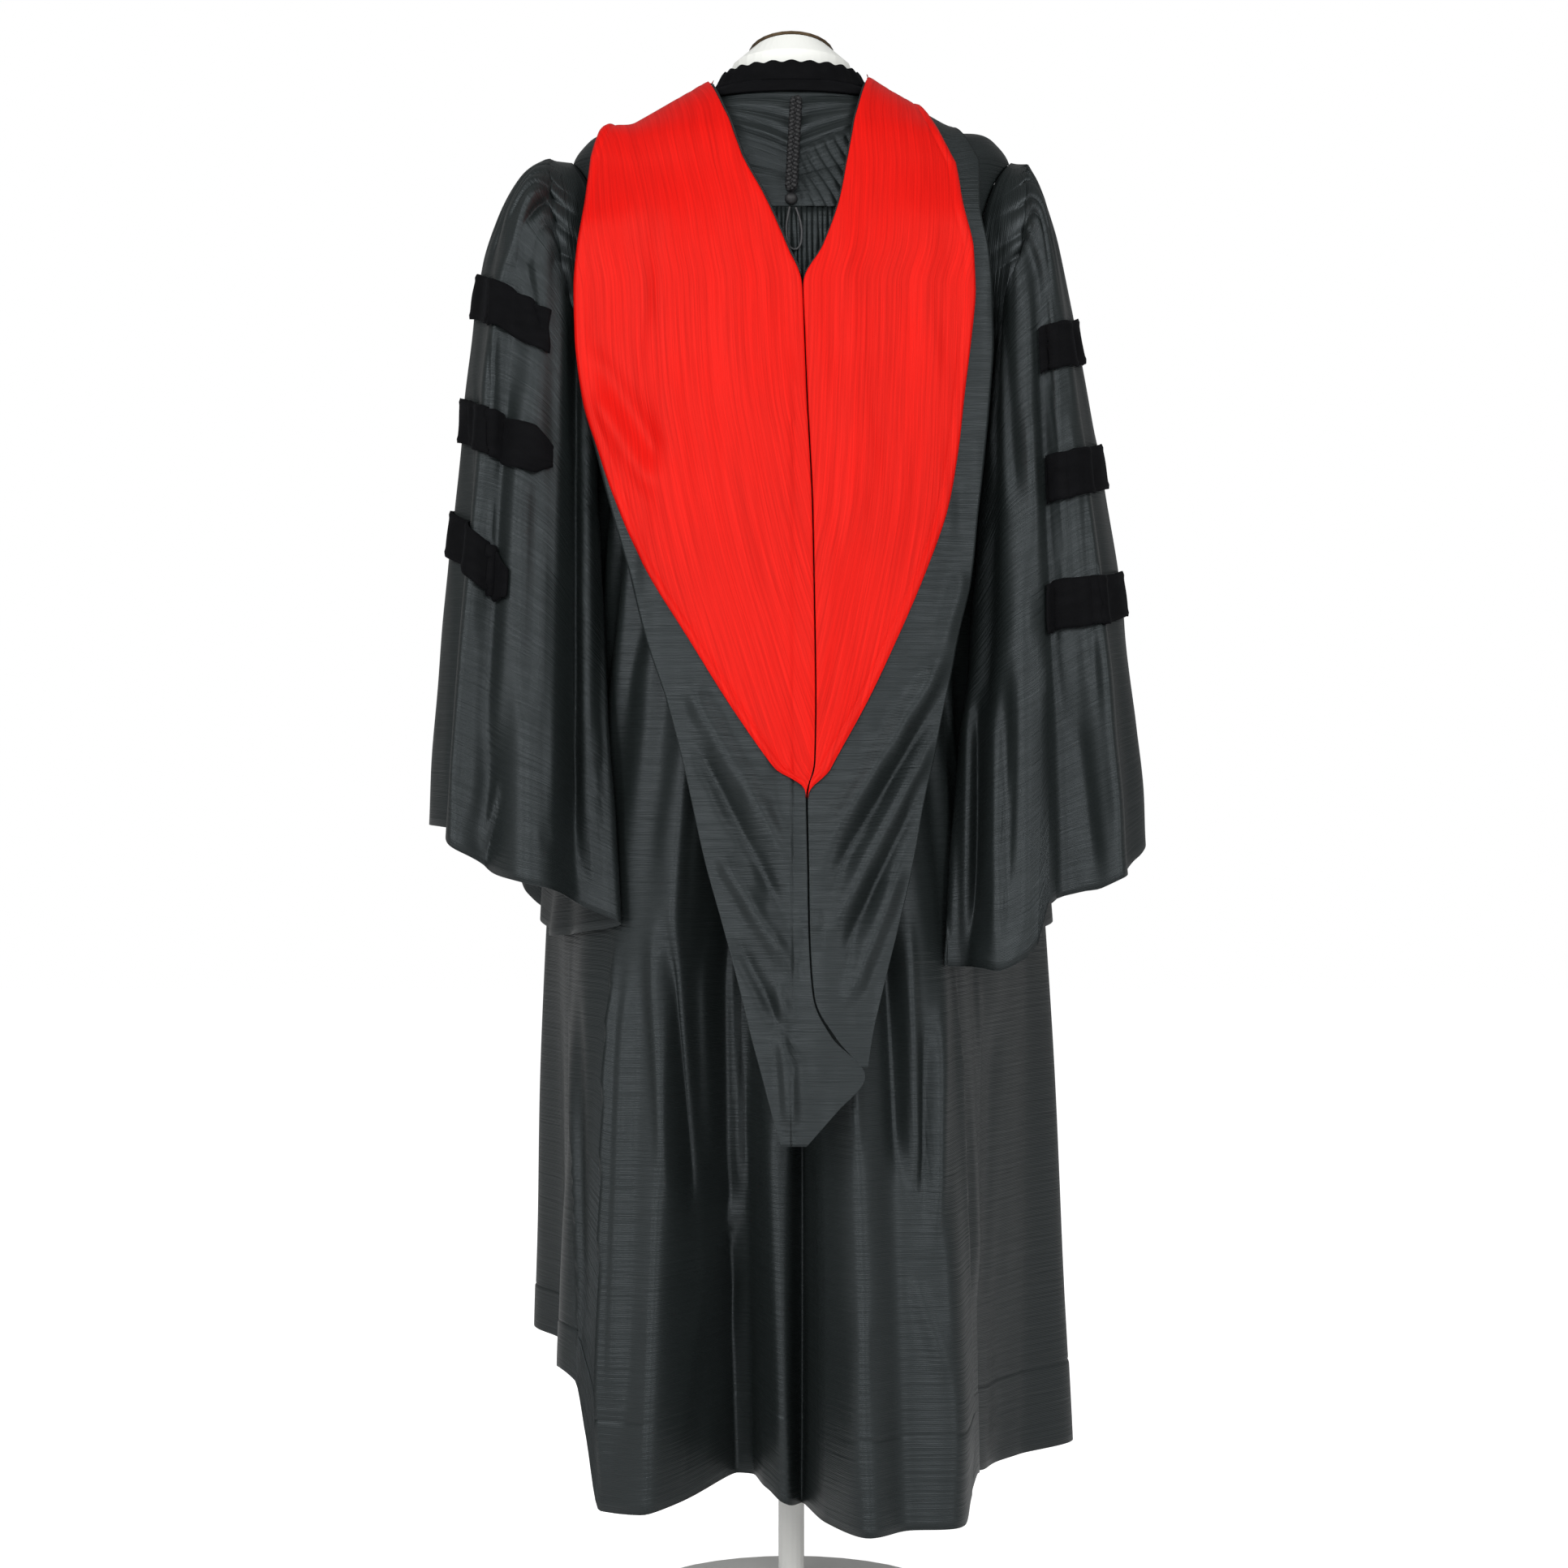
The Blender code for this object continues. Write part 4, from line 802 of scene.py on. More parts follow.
def back_panel():
    share = np.linspace(0.0, 1.0, PANEL_COLUMNS + 1)[None, :]
    height = panel_heights()
    angle = panel_angles(share, height)
    plain = hang(angle, height, 0.0)
    out = flutes(share, height)
    placed = creases(plain[..., 0], plain[..., 2], SKIRT_CREASES)
    placed = placed + steps(plain[..., 0], plain[..., 2], SKIRT_STEPS)
    out = out + ramp(plain[..., 1], 0.0, -0.04) * placed
    out = out + 0.0016 * unevenness(angle, height, (9.0, 0.16), 7) * ramp(height, 1.20, 1.05)
    grid = hang(angle, height, out + hem_relief(height))
    cloth("gown_back", grid, "faille", ("back_panel",))


back_panel()

# %% [markdown]
# ## The yokes
# The back yoke carries the gathers. Under the neckband it lies in soft tucks that droop to the
# middle, and on its right a fan of small pleats runs slantwise to the seam. Its front
# fellows, which the photograph does not show, lie plain over the shoulders.

# %% The yokes
FRONT_MEET = 0.0040
FRONT_DEPTH = 0.095
TUCKS_TOP = 1.4530
TUCK_SPACING = 0.0095
FAN_DEGREES = 5.4
FAN_SLANT = 0.030
TUCK_DROOP = 0.027
TUCK_DEEPER = 1.9
FAN_DEEPER = 1.8
YOKE_COLUMNS = 208
YOKE_ROWS = 130


def front_columns(height, side, columns):
    """Angles of a front piece, from the side to the middle of the front."""
    edge = side_edge(height, 1)
    middle = 180.0 - math.degrees(FRONT_MEET / FRONT_DEPTH)
    share = np.linspace(0.0, 1.0, columns + 1)[None, :]
    angle = edge + (middle - edge) * share
    return angle if side > 0 else -angle[:, ::-1]


def back_yoke():
    share = np.linspace(-1.0, 1.0, YOKE_COLUMNS + 1)[None, :]
    height = np.linspace(NECK_SEAM - 0.5 * GAP, YOKE_SEAM + 0.5 * GAP, YOKE_ROWS)[:, None]
    angle = share * side_edge(height, -1)
    middle = np.clip(1.0 - np.abs(angle - 2.0) / 75.0, 0.0, 1.0)
    hanging = np.clip(1.0 - np.abs(angle - 2.0) / 42.0, 0.0, 1.0) ** 1.2
    tucked = ramp(height, NECK_SEAM, TUCKS_TOP) * ramp(height, YOKE_SEAM, 1.415)
    droop = TUCK_DROOP * hanging * tucked * ramp(height, NECK_SEAM, 1.4255)
    phase = (TUCKS_TOP - height) / TUCK_SPACING
    phase = phase + 0.16 * unevenness(angle, height, (14.0, 0.02), 11)
    fold = phase % 1.0
    sharp = np.where(fold < 0.72, ramp(fold, 0.0, 0.72), 1.0 - ramp(fold, 0.72, 1.0))
    tucks = TUCK_DEPTH * TUCK_DEEPER * (0.1 + 0.9 * sharp) * middle * (phase > -0.02)
    tucks = tucks * ramp(height, 1.410, 1.4225)
    turn = (angle - 3.0) / FAN_DEGREES + (height - YOKE_SEAM) / FAN_SLANT
    fan = FAN_PLEAT * FAN_DEEPER * np.abs(np.cos(math.pi * turn)) * ramp(angle, 2.0, 9.0)
    fan = fan * ramp(angle, 54.0, 44.0) * ramp(height, 1.428, 1.412)
    soft = 0.0009 * unevenness(angle, height, (16.0, 0.035), 12) * ramp(height, 1.34, 1.36)
    grid = body_point(angle, height - droop, GAP + tucks + fan + np.abs(soft))
    cloth("gown_yoke_back", grid, "faille", ("yoke_back",))


def plain_fronts():
    height = np.linspace(NECK_SEAM - 0.5 * GAP, YOKE_SEAM + 0.5 * GAP, 40)[:, None]
    for side, name in ((-1, "left"), (1, "right")):
        angle = front_columns(height, side, 80)
        soft = 0.0010 * np.abs(unevenness(angle, height, (14.0, 0.03), 13 + side))
        soft = soft * ramp(height, NECK_SEAM, 1.44) * ramp(height, YOKE_SEAM, 1.36)
        cloth("gown_yoke_front_" + name, body_point(angle, height, GAP + soft), "faille",
              ("yoke_front_" + name,))


back_yoke()
plain_fronts()

# %% [markdown]
# ## The neckband
# A velvet band stands round the neck. Its pile bulges a little above and below the seam that
# runs round it, and its top edge is wavy where the binding pulls.

# %% The neckband
COLLAR_OPEN = 1.6
COLLAR_FOOT = 1.4568
COLLAR_ROWS = Table(
    "height out",
    (COLLAR_FOOT, 0.0046), (1.4630, 0.0044), (1.4665, 0.0030), (1.4685, 0.0018), (1.4710, 0.0034),
    (1.4770, 0.0036), (1.4830, 0.0030), (COLLAR_TOP, 0.0012),
)
SCALLOP = 0.0010
SCALLOPS = 23


def velvet_collar():
    angle = np.linspace(-180.0 + COLLAR_OPEN, 180.0 - COLLAR_OPEN, 261)[None, :]
    height = np.linspace(COLLAR_TOP, COLLAR_FOOT, 28)[:, None]
    wave = np.cos(np.radians(angle * SCALLOPS)) + 0.5 * unevenness(angle, height, (20.0, 1.0), 21)
    rise = SCALLOP * wave * ramp(height, 1.470, COLLAR_TOP)
    out = COLLAR_ROWS.at("out", height) + 0.0006 * wave * ramp(height, 1.4600, 1.4700)
    cloth("neckband", body_point(angle, height + rise, out), "velvet",
          ("velvet_collar",))


velvet_collar()

# %% [markdown]
# ## The fronts
# The photograph shows only the back, so the fronts follow what such a gown has: two panels
# that meet down the middle, each with a broad velvet facing along its edge. Their folds are
# of the same kind as those of the back, with no gathers at the seam.

# %% The fronts
FACING_SHARE = 0.30
FRONT_COLUMNS = 90


def front_folds(angle, height, side):
    """Soft hanging folds of a front panel, fading out at the yoke and at the front edge."""
    across = np.abs(angle)
    low = ramp(height, 1.25, 0.60)
    rolls = 0.0050 * unevenness(across + 40.0 * side, height, (7.5, 0.9), 31 + side)
    fine = 0.0016 * unevenness(across, height, (3.0, 0.35), 33 + side)
    edge = ramp(across, 97.0, 108.0) * ramp(across, 176.0, 160.0)
    return edge * (rolls * low + fine * ramp(height, 1.33, 1.10))


def fronts():
    for side, name in ((-1, "left"), (1, "right")):
        yoke_height = np.linspace(NECK_SEAM - 3.0 * GAP, YOKE_SEAM + 6.0 * GAP, 40)[:, None]
        height = panel_heights()
        angle = front_columns(height, side, FRONT_COLUMNS)
        panel = hang(angle, height, front_folds(angle, height, side) + hem_relief(height))
        cloth("gown_front_" + name, panel, "faille", ("front_" + name,))
        yoke = body_point(front_columns(yoke_height, side, FRONT_COLUMNS), yoke_height, 0.0014)
        grid = np.concatenate([yoke, panel])
        grid = grid + grid_normals(grid) * (CLOTH + GAP)
        wide = int(FRONT_COLUMNS * FACING_SHARE)
        middle = slice(-wide - 1, None) if side > 0 else slice(0, wide + 1)
        cloth("facing_" + name, grid[:, middle], "velvet", ("velvet_facing_" + name,))


fronts()

# %% [markdown]
# ## The hood's band over the chest
# The hood hangs from the neck by a narrow band that crosses the front, from one shoulder's
# crest to the other's. It is hidden too, and follows its solid.

# %% The hood's band
BAND = Table(
    "angle inner outer off",
    (90.0, 1.4760, 1.4120, 0.0085),
    (102.0, 1.4640, 1.4000, 0.0082),
    (116.0, 1.4440, 1.3780, 0.0074),
    (134.0, 1.4180, 1.3460, 0.0074),
    (156.0, 1.3820, 1.3120, 0.0084),
    (180.0, 1.3560, 1.2900, 0.0090),
)
BAND_RAISED = {"left": 0.008, "right": 0.016}      # at the shoulders, to hide its ends
BAND_WALL = 0.0014


def hood_band():
    edge = 90.0 + float(gap_angle(1.44))
    turn = np.linspace(edge, 360.0 - edge, 161)[None, :]
    place = np.minimum(turn, 360.0 - turn)
    share = np.linspace(0.0, 1.0, 22)[:, None]
    inner, outer = BAND.at("inner", place), BAND.at("outer", place)
    raised = np.where(turn < 180.0, BAND_RAISED["right"], BAND_RAISED["left"])
    outer = outer + ramp(place, 112.0, 92.0) * raised
    height = inner + (outer - inner) * share
    angle = np.where(turn > 180.0, turn - 360.0, turn)
    roll = 0.0016 * np.sin(math.pi * share) + 0.0005 * unevenness(turn, height, (9.0, 0.02), 41)
    off = (BAND.at("off", place) + roll)[..., None]
    grid = body_point(angle, height) + outward(angle, height) * off
    cloth("hood_band", grid, "faille", ("hood_neckband",), wall=BAND_WALL)


hood_band()

# %% [markdown]
# ## The sleeves
# A bell sleeve is a wide tube, gathered where it is set into the armhole and open at the
# wrist, where it hangs to a low corner. It is built from rings: each states the ring's outer
# and inner points, its depth to the back and the front, how late round the ring the cloth
# droops to the inner point, and how far the back's inner corner swings in. Between the stated
# rings the sizes are smoothed, so the folds run unbroken from the head to the hem.

# %% The sleeves' sizes
SLEEVE_NAMES = "way outer_x outer_z inner_x inner_z near far droop swing"
SLEEVES = {
    "left": Table(
        SLEEVE_NAMES,
        (1, 0.232, 1.403, 0.2130, 1.134, 0.090, 0.084, 1.4, 0.010),
        (2, 0.254, 1.386, 0.2130, 1.110, 0.100, 0.092, 2.2, 0.018),
        (3, 0.281, 1.343, 0.2130, 1.076, 0.108, 0.098, 3.4, 0.026),
        (4, 0.296, 1.297, 0.210, 1.044, 0.114, 0.102, 4.0, 0.032),
        (5, 0.302, 1.255, 0.211, 1.014, 0.120, 0.106, 4.0, 0.036),
        (6, 0.312, 1.176, 0.213, 0.956, 0.134, 0.114, 4.0, 0.040),
        (7, 0.314, 1.134, 0.215, 0.925, 0.141, 0.118, 3.8, 0.045),
        (8, 0.320, 1.065, 0.218, 0.875, 0.152, 0.126, 3.4, 0.050),
        (9, 0.323, 1.023, 0.221, 0.846, 0.160, 0.130, 3.0, 0.055),
        (10, 0.330, 0.930, 0.228, 0.780, 0.176, 0.140, 2.4, 0.066),
        (11, 0.334, 0.840, 0.236, 0.716, 0.192, 0.148, 2.0, 0.080),
        (12, 0.336, 0.762, 0.245, 0.655, 0.205, 0.155, 1.6, 0.092),
    ),
    "right": Table(
        SLEEVE_NAMES,
        (1, 0.224, 1.398, 0.2130, 1.134, 0.088, 0.084, 1.4, 0.010),
        (2, 0.238, 1.370, 0.2130, 1.110, 0.098, 0.092, 2.2, 0.018),
        (3, 0.252, 1.326, 0.2130, 1.076, 0.106, 0.098, 3.4, 0.026),
        (4, 0.268, 1.250, 0.210, 1.030, 0.116, 0.104, 4.0, 0.032),
        (5, 0.276, 1.208, 0.211, 1.000, 0.122, 0.108, 4.0, 0.038),
        (6, 0.289, 1.129, 0.213, 0.945, 0.136, 0.116, 4.0, 0.045),
        (7, 0.295, 1.087, 0.215, 0.915, 0.143, 0.120, 3.8, 0.050),
        (8, 0.306, 1.006, 0.218, 0.862, 0.158, 0.128, 3.4, 0.058),
        (9, 0.310, 0.964, 0.221, 0.834, 0.165, 0.132, 3.0, 0.066),
        (10, 0.319, 0.885, 0.228, 0.776, 0.178, 0.142, 2.4, 0.080),
        (11, 0.324, 0.815, 0.236, 0.716, 0.190, 0.150, 2.0, 0.095),
        (12, 0.327, 0.745, 0.245, 0.655, 0.204, 0.156, 1.6, 0.111),
    ),
}
SLEEVE_FOLDS = {
    "left": Table(
        "around out",
        (0, 0.000), (24, 0.010), (44, -0.014), (62, 0.010), (80, -0.024), (98, 0.014),
        (116, -0.020), (134, 0.020), (152, -0.010), (180, 0.000), (215, 0.008),
        (240, -0.012), (268, 0.012), (296, -0.012), (326, 0.008), (360, 0.000),
    ),
    "right": Table(
        "around out",
        (0, 0.000), (26, 0.008), (48, -0.008), (66, 0.008), (80, -0.006), (92, -0.028),
        (102, 0.020), (116, -0.004), (132, 0.018), (152, -0.010), (180, 0.000),
        (212, 0.008), (238, -0.012), (264, 0.012), (294, -0.012), (328, 0.008), (360, 0.000),
    ),
}
SWING_AT = 128.0
SWING_WIDTH = 34.0
SWING_SHAPE = {"left": 2.0, "right": 4.0}
SWING_DROP = {"left": 0.10, "right": 0.45}
SLEEVE_HEM = {
    "left": Table(
        "around lower",
        (0, 0.000), (54, 0.000), (66, 0.006), (84, 0.010), (96, 0.005), (108, 0.000),
        (360, 0.000),
    ),
    "right": Table(
        "around lower",
        (0, 0.000), (24, 0.000), (36, 0.012), (48, 0.020), (60, 0.016), (84, 0.012), (90, 0.004),
        (96, -0.004), (98, 0.034), (102, 0.036), (108, 0.022), (114, 0.012), (126, 0.000),
        (132, -0.006), (144, -0.015), (156, -0.008), (180, 0.000), (360, 0.000),
    ),
}
HEAD_GATHER = 0.0058
HEAD_FLUTES = 30
HEAD_ROLL = 0.0060
ARMHOLE_ROOM = 0.0021
BODY_ROOM = 0.0085
SIGN = {"left": -1.0, "right": 1.0}
SLEEVE_COLUMNS = 240
SLEEVE_RINGS = 104

# %% The sleeves' creases
SLEEVE_CREASES = {
    "left": (
        (-0.2146, 1.309, -0.2177, 0.699, 0.0060, 0.0080),
        (-0.2041, 1.279, -0.2003, 0.703, 0.0045, -0.0120),
        (-0.1905, 1.166, -0.1890, 0.699, 0.0068, 0.0070),
        (-0.1792, 1.000, -0.1762, 0.789, 0.0045, -0.0040),
        (-0.2357, 1.106, -0.2402, 0.850, 0.0068, -0.0070),
        (-0.2523, 1.174, -0.2734, 0.805, 0.0098, 0.0075),
        (-0.2900, 1.226, -0.3080, 0.789, 0.0113, 0.0050),
        (-0.2734, 1.354, -0.2824, 1.211, 0.0060, -0.0050),
        (-0.2410, 1.369, -0.2674, 1.279, 0.0068, 0.0060),
        (-0.2523, 1.302, -0.2312, 1.211, 0.0060, -0.0060),
        (-0.2146, 1.373, -0.2523, 1.324, 0.0045, -0.0045),
        (-0.3156, 1.000, -0.3238, 0.774, 0.0075, 0.0040),
        (-0.2975, 0.955, -0.3035, 0.767, 0.0068, -0.0050),
    ),
    "right": (
        (0.1619, 0.880, 0.1589, 0.639, 0.0060, 0.0070),
        (0.1732, 0.887, 0.1717, 0.639, 0.0045, -0.0060),
        (0.1823, 0.895, 0.1860, 0.631, 0.0060, 0.0075),
        (0.1966, 0.910, 0.1981, 0.639, 0.0053, -0.0070),
        (0.2101, 0.925, 0.2086, 0.635, 0.0068, 0.0070),
        (0.1484, 0.872, 0.1469, 0.646, 0.0053, 0.0050),
        (0.1785, 1.347, 0.1905, 1.046, 0.0068, 0.0060),
        (0.1996, 1.302, 0.2094, 1.046, 0.0060, -0.0080),
        (0.2207, 1.302, 0.2267, 1.000, 0.0068, 0.0070),
        (0.2448, 1.211, 0.2538, 0.850, 0.0075, 0.0050),
        (0.2659, 1.181, 0.2824, 0.850, 0.0060, -0.0050),
        (0.2869, 0.955, 0.3050, 0.744, 0.0090, 0.0050),
        (0.2613, 0.865, 0.2787, 0.714, 0.0075, -0.0045),
        (0.1966, 1.362, 0.2161, 1.302, 0.0045, -0.0050),
        (0.2071, 1.368, 0.2372, 1.279, 0.0045, 0.0045),
    ),
}
SLEEVE_STEPS = {
    "left": (
        (-0.2790, 1.300, -0.2800, 1.095, 0.0045, 0.0055),
        (-0.3010, 1.185, -0.2965, 1.035, 0.0038, 0.0040),
        (-0.2800, 1.075, -0.2790, 0.960, 0.0038, 0.0045),
        (-0.2839, 0.737, -0.2628, 0.803, 0.0075, 0.0060),
        (-0.2282, 0.759, -0.2056, 0.710, 0.0045, -0.0050),
        (-0.1770, 0.865, -0.1800, 0.699, -0.0075, 0.0060),
    ),
    "right": (
        (0.2400, 1.290, 0.2560, 0.930, 0.0045, 0.0050),
        (0.2830, 1.010, 0.2880, 0.940, 0.0038, 0.0035),
        (0.2237, 1.166, 0.2327, 0.955, -0.0121, 0.0080),
        (0.2320, 0.970, 0.2327, 0.635, -0.0166, 0.0170),
    ),
}

# %% The sleeves' shape
def armhole_ring(side, degrees):
    """The sleeve's first ring, on the armhole's edge."""
    turn = np.radians(degrees)
    height = ARMHOLE_MIDDLE + ARMHOLE_HALF_HEIGHT * np.cos(turn)
    angle = SIGN[side] * (90.0 - ARMHOLE_HALF_ANGLE * np.sin(turn))
    return body_point(angle, height) + outward(angle, height) * (CLOTH + ARMHOLE_ROOM)


def round_unevenness(degrees, way, size, seed):
    """Unevenness round a sleeve, which meets itself where the ring closes."""
    turn = degrees % 360.0
    late = ramp(turn, 320.0, 360.0)
    return (unevenness(turn, way, size, seed) * (1.0 - late)
            + unevenness(turn - 360.0, way, size, seed) * late)


def sleeve_relief(side, degrees, way):
    """Fine flutes at the head, and soft folds that grow towards the wrist."""
    seed = 50 if side == "left" else 60
    smaller = 0.5 * (1.0 - np.cos(np.radians(degrees))) < 0.92
    wander = 0.3 * round_unevenness(degrees, way, (9.0, 1.2), seed)
    fine = np.abs(np.cos(math.pi * (degrees * HEAD_FLUTES / 360.0 + wander))) ** 0.8 - 0.6
    fine = HEAD_GATHER * fine * smaller * ramp(way, 0.0, 0.7) * ramp(way, 4.6, 1.2)
    fine = fine + HEAD_ROLL * smaller * np.exp(-((way - 0.55) / 0.35) ** 2)
    slow = round_unevenness(degrees, way, (15.0, 4.0), seed + 1) * 0.0050 * ramp(way, 2.0, 10.0)
    rumple = round_unevenness(degrees, way, (9.0, 0.8), seed + 2) * 0.0014 * ramp(way, 0.5, 2.0)
    return fine + slow + rumple


def sleeve_point(side, degrees, way):
    """A sleeve's point: degrees round it from its outer line, and way down it, 0 to 12."""
    table = SLEEVES[side]
    degrees, way = np.broadcast_arrays(np.asarray(degrees, float), np.asarray(way, float))
    turn = np.radians(degrees)
    below = np.maximum(way, 1.0)
    across = 0.5 * (1.0 - np.cos(turn))
    off = np.abs((degrees - SWING_AT) / SWING_WIDTH)
    swing = table.at("swing", below) * np.exp(-off ** SWING_SHAPE[side])
    outer, inner = table.at("outer_x", below), table.at("inner_x", below)
    depth = np.where(np.sin(turn) > 0.0, table.at("near", below), table.at("far", below))
    drop = table.at("outer_z", below) - table.at("inner_z", below)
    out = SLEEVE_FOLDS[side].at("out", degrees % 360.0) * (way / 12.0) ** 1.3
    out = out + sleeve_relief(side, degrees, way)
    x = outer + (inner - outer) * across - swing + out * np.cos(turn)
    y = -depth * np.sin(turn) - out * np.sin(turn)
    z = table.at("outer_z", below) - drop * across ** table.at("droop", below)
    low = SLEEVE_HEM[side].at("lower", degrees % 360.0) * ((below - 1.0) / 11.0) ** 6
    x, z = SIGN[side] * x, z - SWING_DROP[side] * swing - low
    facing = ramp(np.sin(turn), 0.0, 0.5) * ramp(way, 0.4, 1.4)
    placed = creases(x, z, SLEEVE_CREASES[side]) + steps(x, z, SLEEVE_STEPS[side])
    ring = np.stack([x, y - facing * placed, z], axis=-1)
    ring = clear_of_body(ring, BODY_ROOM)
    first = np.clip(1.0 - way, 0.0, 1.0)[..., None] ** 1.6
    return ring * (1.0 - first) + armhole_ring(side, degrees) * first


def sleeve_degrees(side, start, end, columns):
    """Degrees round a sleeve, in the order that keeps its outer side outwards."""
    degrees = np.linspace(start, end, columns, endpoint=end - start < 359.0)
    return degrees if side == "left" else degrees[::-1]


def sleeves():
    ways = np.concatenate([np.linspace(0.0, 1.0, 12), np.linspace(1.0, 12.0, SLEEVE_RINGS)[1:]])
    for side in ("left", "right"):
        degrees = sleeve_degrees(side, 0.0, 360.0, SLEEVE_COLUMNS)
        grid = sleeve_point(side, degrees[None, :], ways[:, None])
        cloth("gown_sleeve_" + side, grid, "faille", ("sleeve_" + side,), closed=True)


sleeves()

# %% [markdown]
# ## The velvet bars
# Three velvet bars cross each sleeve. The lower two on the left end in a point, and the rest
# are cut straight. Each hangs lower towards the back than at the outer line, by the metres in
# its own table. A bar lies on the sleeve's own points, moved out by the sleeve's wall, so it
# bends into every fold that it crosses. Its edges are turned under, which shows as a slight
# swelling just inside them.

# %% The velvet bars
BAR_STARTS = {1: 4.0, 2: 6.0, 3: 8.0}
BAR_ENDS = {"left": {1: 101.5, 2: 104.0, 3: 89.0}, "right": {1: 92.0, 2: 93.5, 3: 96.0}}
BAR_FAR = -60.0
BAR_POINT = {"left": {1: 0.0, 2: 0.55, 3: 0.40}, "right": {1: 0.0, 2: 0.0, 3: 0.0}}
BAR_POINT_DEGREES = 7.0
BAR_HANGS = {
    "left_1": Table("around low", (-60, 0.0), (0, 0.004), (30, 0.013), (60, 0.023),
                    (80, 0.029), (90, 0.028), (102, 0.022)),
    "left_2": Table("around low", (-60, 0.0), (0, 0.003), (30, 0.011), (40, 0.016),
                    (60, 0.022), (80, 0.028), (90, 0.025), (104, 0.016)),
    "left_3": Table("around low", (-60, 0.0), (0, 0.002), (20, 0.005), (40, 0.017),
                    (58, 0.021), (70, 0.033), (80, 0.036), (90, 0.035)),
    "right_1": Table("around low", (-60, 0.0), (0, 0.003), (20, 0.005), (40, 0.012),
                     (60, 0.016), (80, 0.014), (92, 0.005)),
    "right_2": Table("around low", (-60, 0.0), (0, 0.002), (20, 0.005), (40, 0.011),
                     (60, 0.015), (80, 0.014), (94, 0.004)),
    "right_3": Table("around low", (-60, 0.0), (0, 0.002), (20, 0.004), (40, 0.009),
                     (60, 0.011), (80, 0.007), (90, -0.002), (96, -0.008)),
}
BAR_LIFT = 0.0016
BAR_COLUMNS = 150


def velvet_bars():
    for side in ("left", "right"):
        for number, start in BAR_STARTS.items():
            degrees = sleeve_degrees(side, BAR_FAR, BAR_ENDS[side][number], BAR_COLUMNS)[None, :]
            name = "%s_%d" % (side, number)
            nearest = BAR_ENDS[side][number] - degrees
            point = BAR_POINT[side][number]
            half = 0.5 * (1.0 - point * np.clip(1.0 - nearest / BAR_POINT_DEGREES, 0.0, 1.0))
            across = np.linspace(-1.0, 1.0, 17)[:, None]
            ways = np.linspace(1.0, 12.0, 1101)
            heights = SLEEVES[side].at("outer_z", ways)
            level = np.interp(start + 0.5 + across * half, ways, heights)
            level = level - BAR_HANGS[name].at("low", degrees)
            grid = sleeve_point(side, degrees, np.interp(-level, -heights, ways))
            swell = 0.0008 * np.exp(-((np.abs(across) - 0.86) / 0.08) ** 2)
            lifted = grid + grid_normals(grid) * (CLOTH + BAR_LIFT + swell)[..., None]
            cloth("velvet_bar_" + name, lifted, "velvet", ("bar_" + name,))


velvet_bars()

# %% [markdown]
# ## The hood
# The hood hangs open down the back: a black shell with a long tail, and over it the turned-out
# red lining. Both are stated by rows from the crest of the shoulder to the tail. Each row has
# the places of the centre seam and of the outer edges, and a smooth section from the back
# towards the sleeves gives the depth. The lining is made from the shell's own surface, moved
# out, so the two can never cross.

# %% The hood's sizes
HOOD_NAMES = "row height seam lining shell"
HOODS = {
    "left": Table(
        HOOD_NAMES,
        (0, 1.4700, -0.0780, -0.1780, -0.1780), (1, 1.385, -0.0450, -0.1865, -0.1865),
        (2, 1.345, -0.0240, -0.1930, -0.1930), (3, 1.300, -0.0045, -0.1995, -0.1995),
        (4, 1.262, 0.0096, -0.2020, -0.2020), (5, 1.215, 0.0115, -0.2000, -0.2000),
        (6, 1.160, 0.0135, -0.1930, -0.1935), (7, 1.110, 0.0160, -0.1780, -0.1815),
        (8, 1.053, 0.0185, -0.1580, -0.1660), (9, 0.995, 0.0195, -0.1310, -0.1490),
        (10, 0.935, 0.0205, -0.0950, -0.1330), (11, 0.875, 0.0210, -0.0580, -0.1130),
        (12, 0.820, 0.0200, -0.0205, -0.0985), (13, 0.787, 0.0130, 0.0040, -0.0910),
        (14, 0.730, 0.0140, 0.0000, -0.0780), (15, 0.670, 0.0150, 0.0000, -0.0610),
        (16, 0.610, 0.0190, 0.0000, -0.0450), (17, 0.575, 0.0350, 0.0000, -0.0365),
        (18, 0.540, 0.0660, 0.0000, -0.0270), (19, 0.508, 0.0400, 0.0000, -0.0185),
        (20, 0.478, 0.0130, 0.0000, -0.0100),
    ),
    "right": Table(
        HOOD_NAMES,
        (0, 1.4700, 0.0690, 0.1180, 0.1560), (1, 1.385, 0.0515, 0.1520, 0.1760),
        (2, 1.345, 0.0445, 0.1590, 0.1765), (3, 1.300, 0.0290, 0.1690, 0.1840),
        (4, 1.262, 0.0106, 0.1700, 0.1870), (5, 1.215, 0.0125, 0.1660, 0.1875),
        (6, 1.160, 0.0145, 0.1590, 0.1840), (7, 1.110, 0.0170, 0.1530, 0.1790),
        (8, 1.053, 0.0195, 0.1420, 0.1720), (9, 0.995, 0.0205, 0.1210, 0.1650),
        (10, 0.935, 0.0215, 0.0960, 0.1510), (11, 0.875, 0.0220, 0.0680, 0.1390),
        (12, 0.820, 0.0210, 0.0380, 0.1270), (13, 0.787, 0.0140, 0.0210, 0.1195),
        (14, 0.730, 0.0150, 0.0000, 0.1090), (15, 0.670, 0.0160, 0.0000, 0.0950),
        (16, 0.610, 0.0200, 0.0000, 0.0800), (17, 0.575, 0.0380, 0.0000, 0.0720),
        (18, 0.547, 0.0625, 0.0000, 0.0675),
    ),
}
LINING_LAST = 13
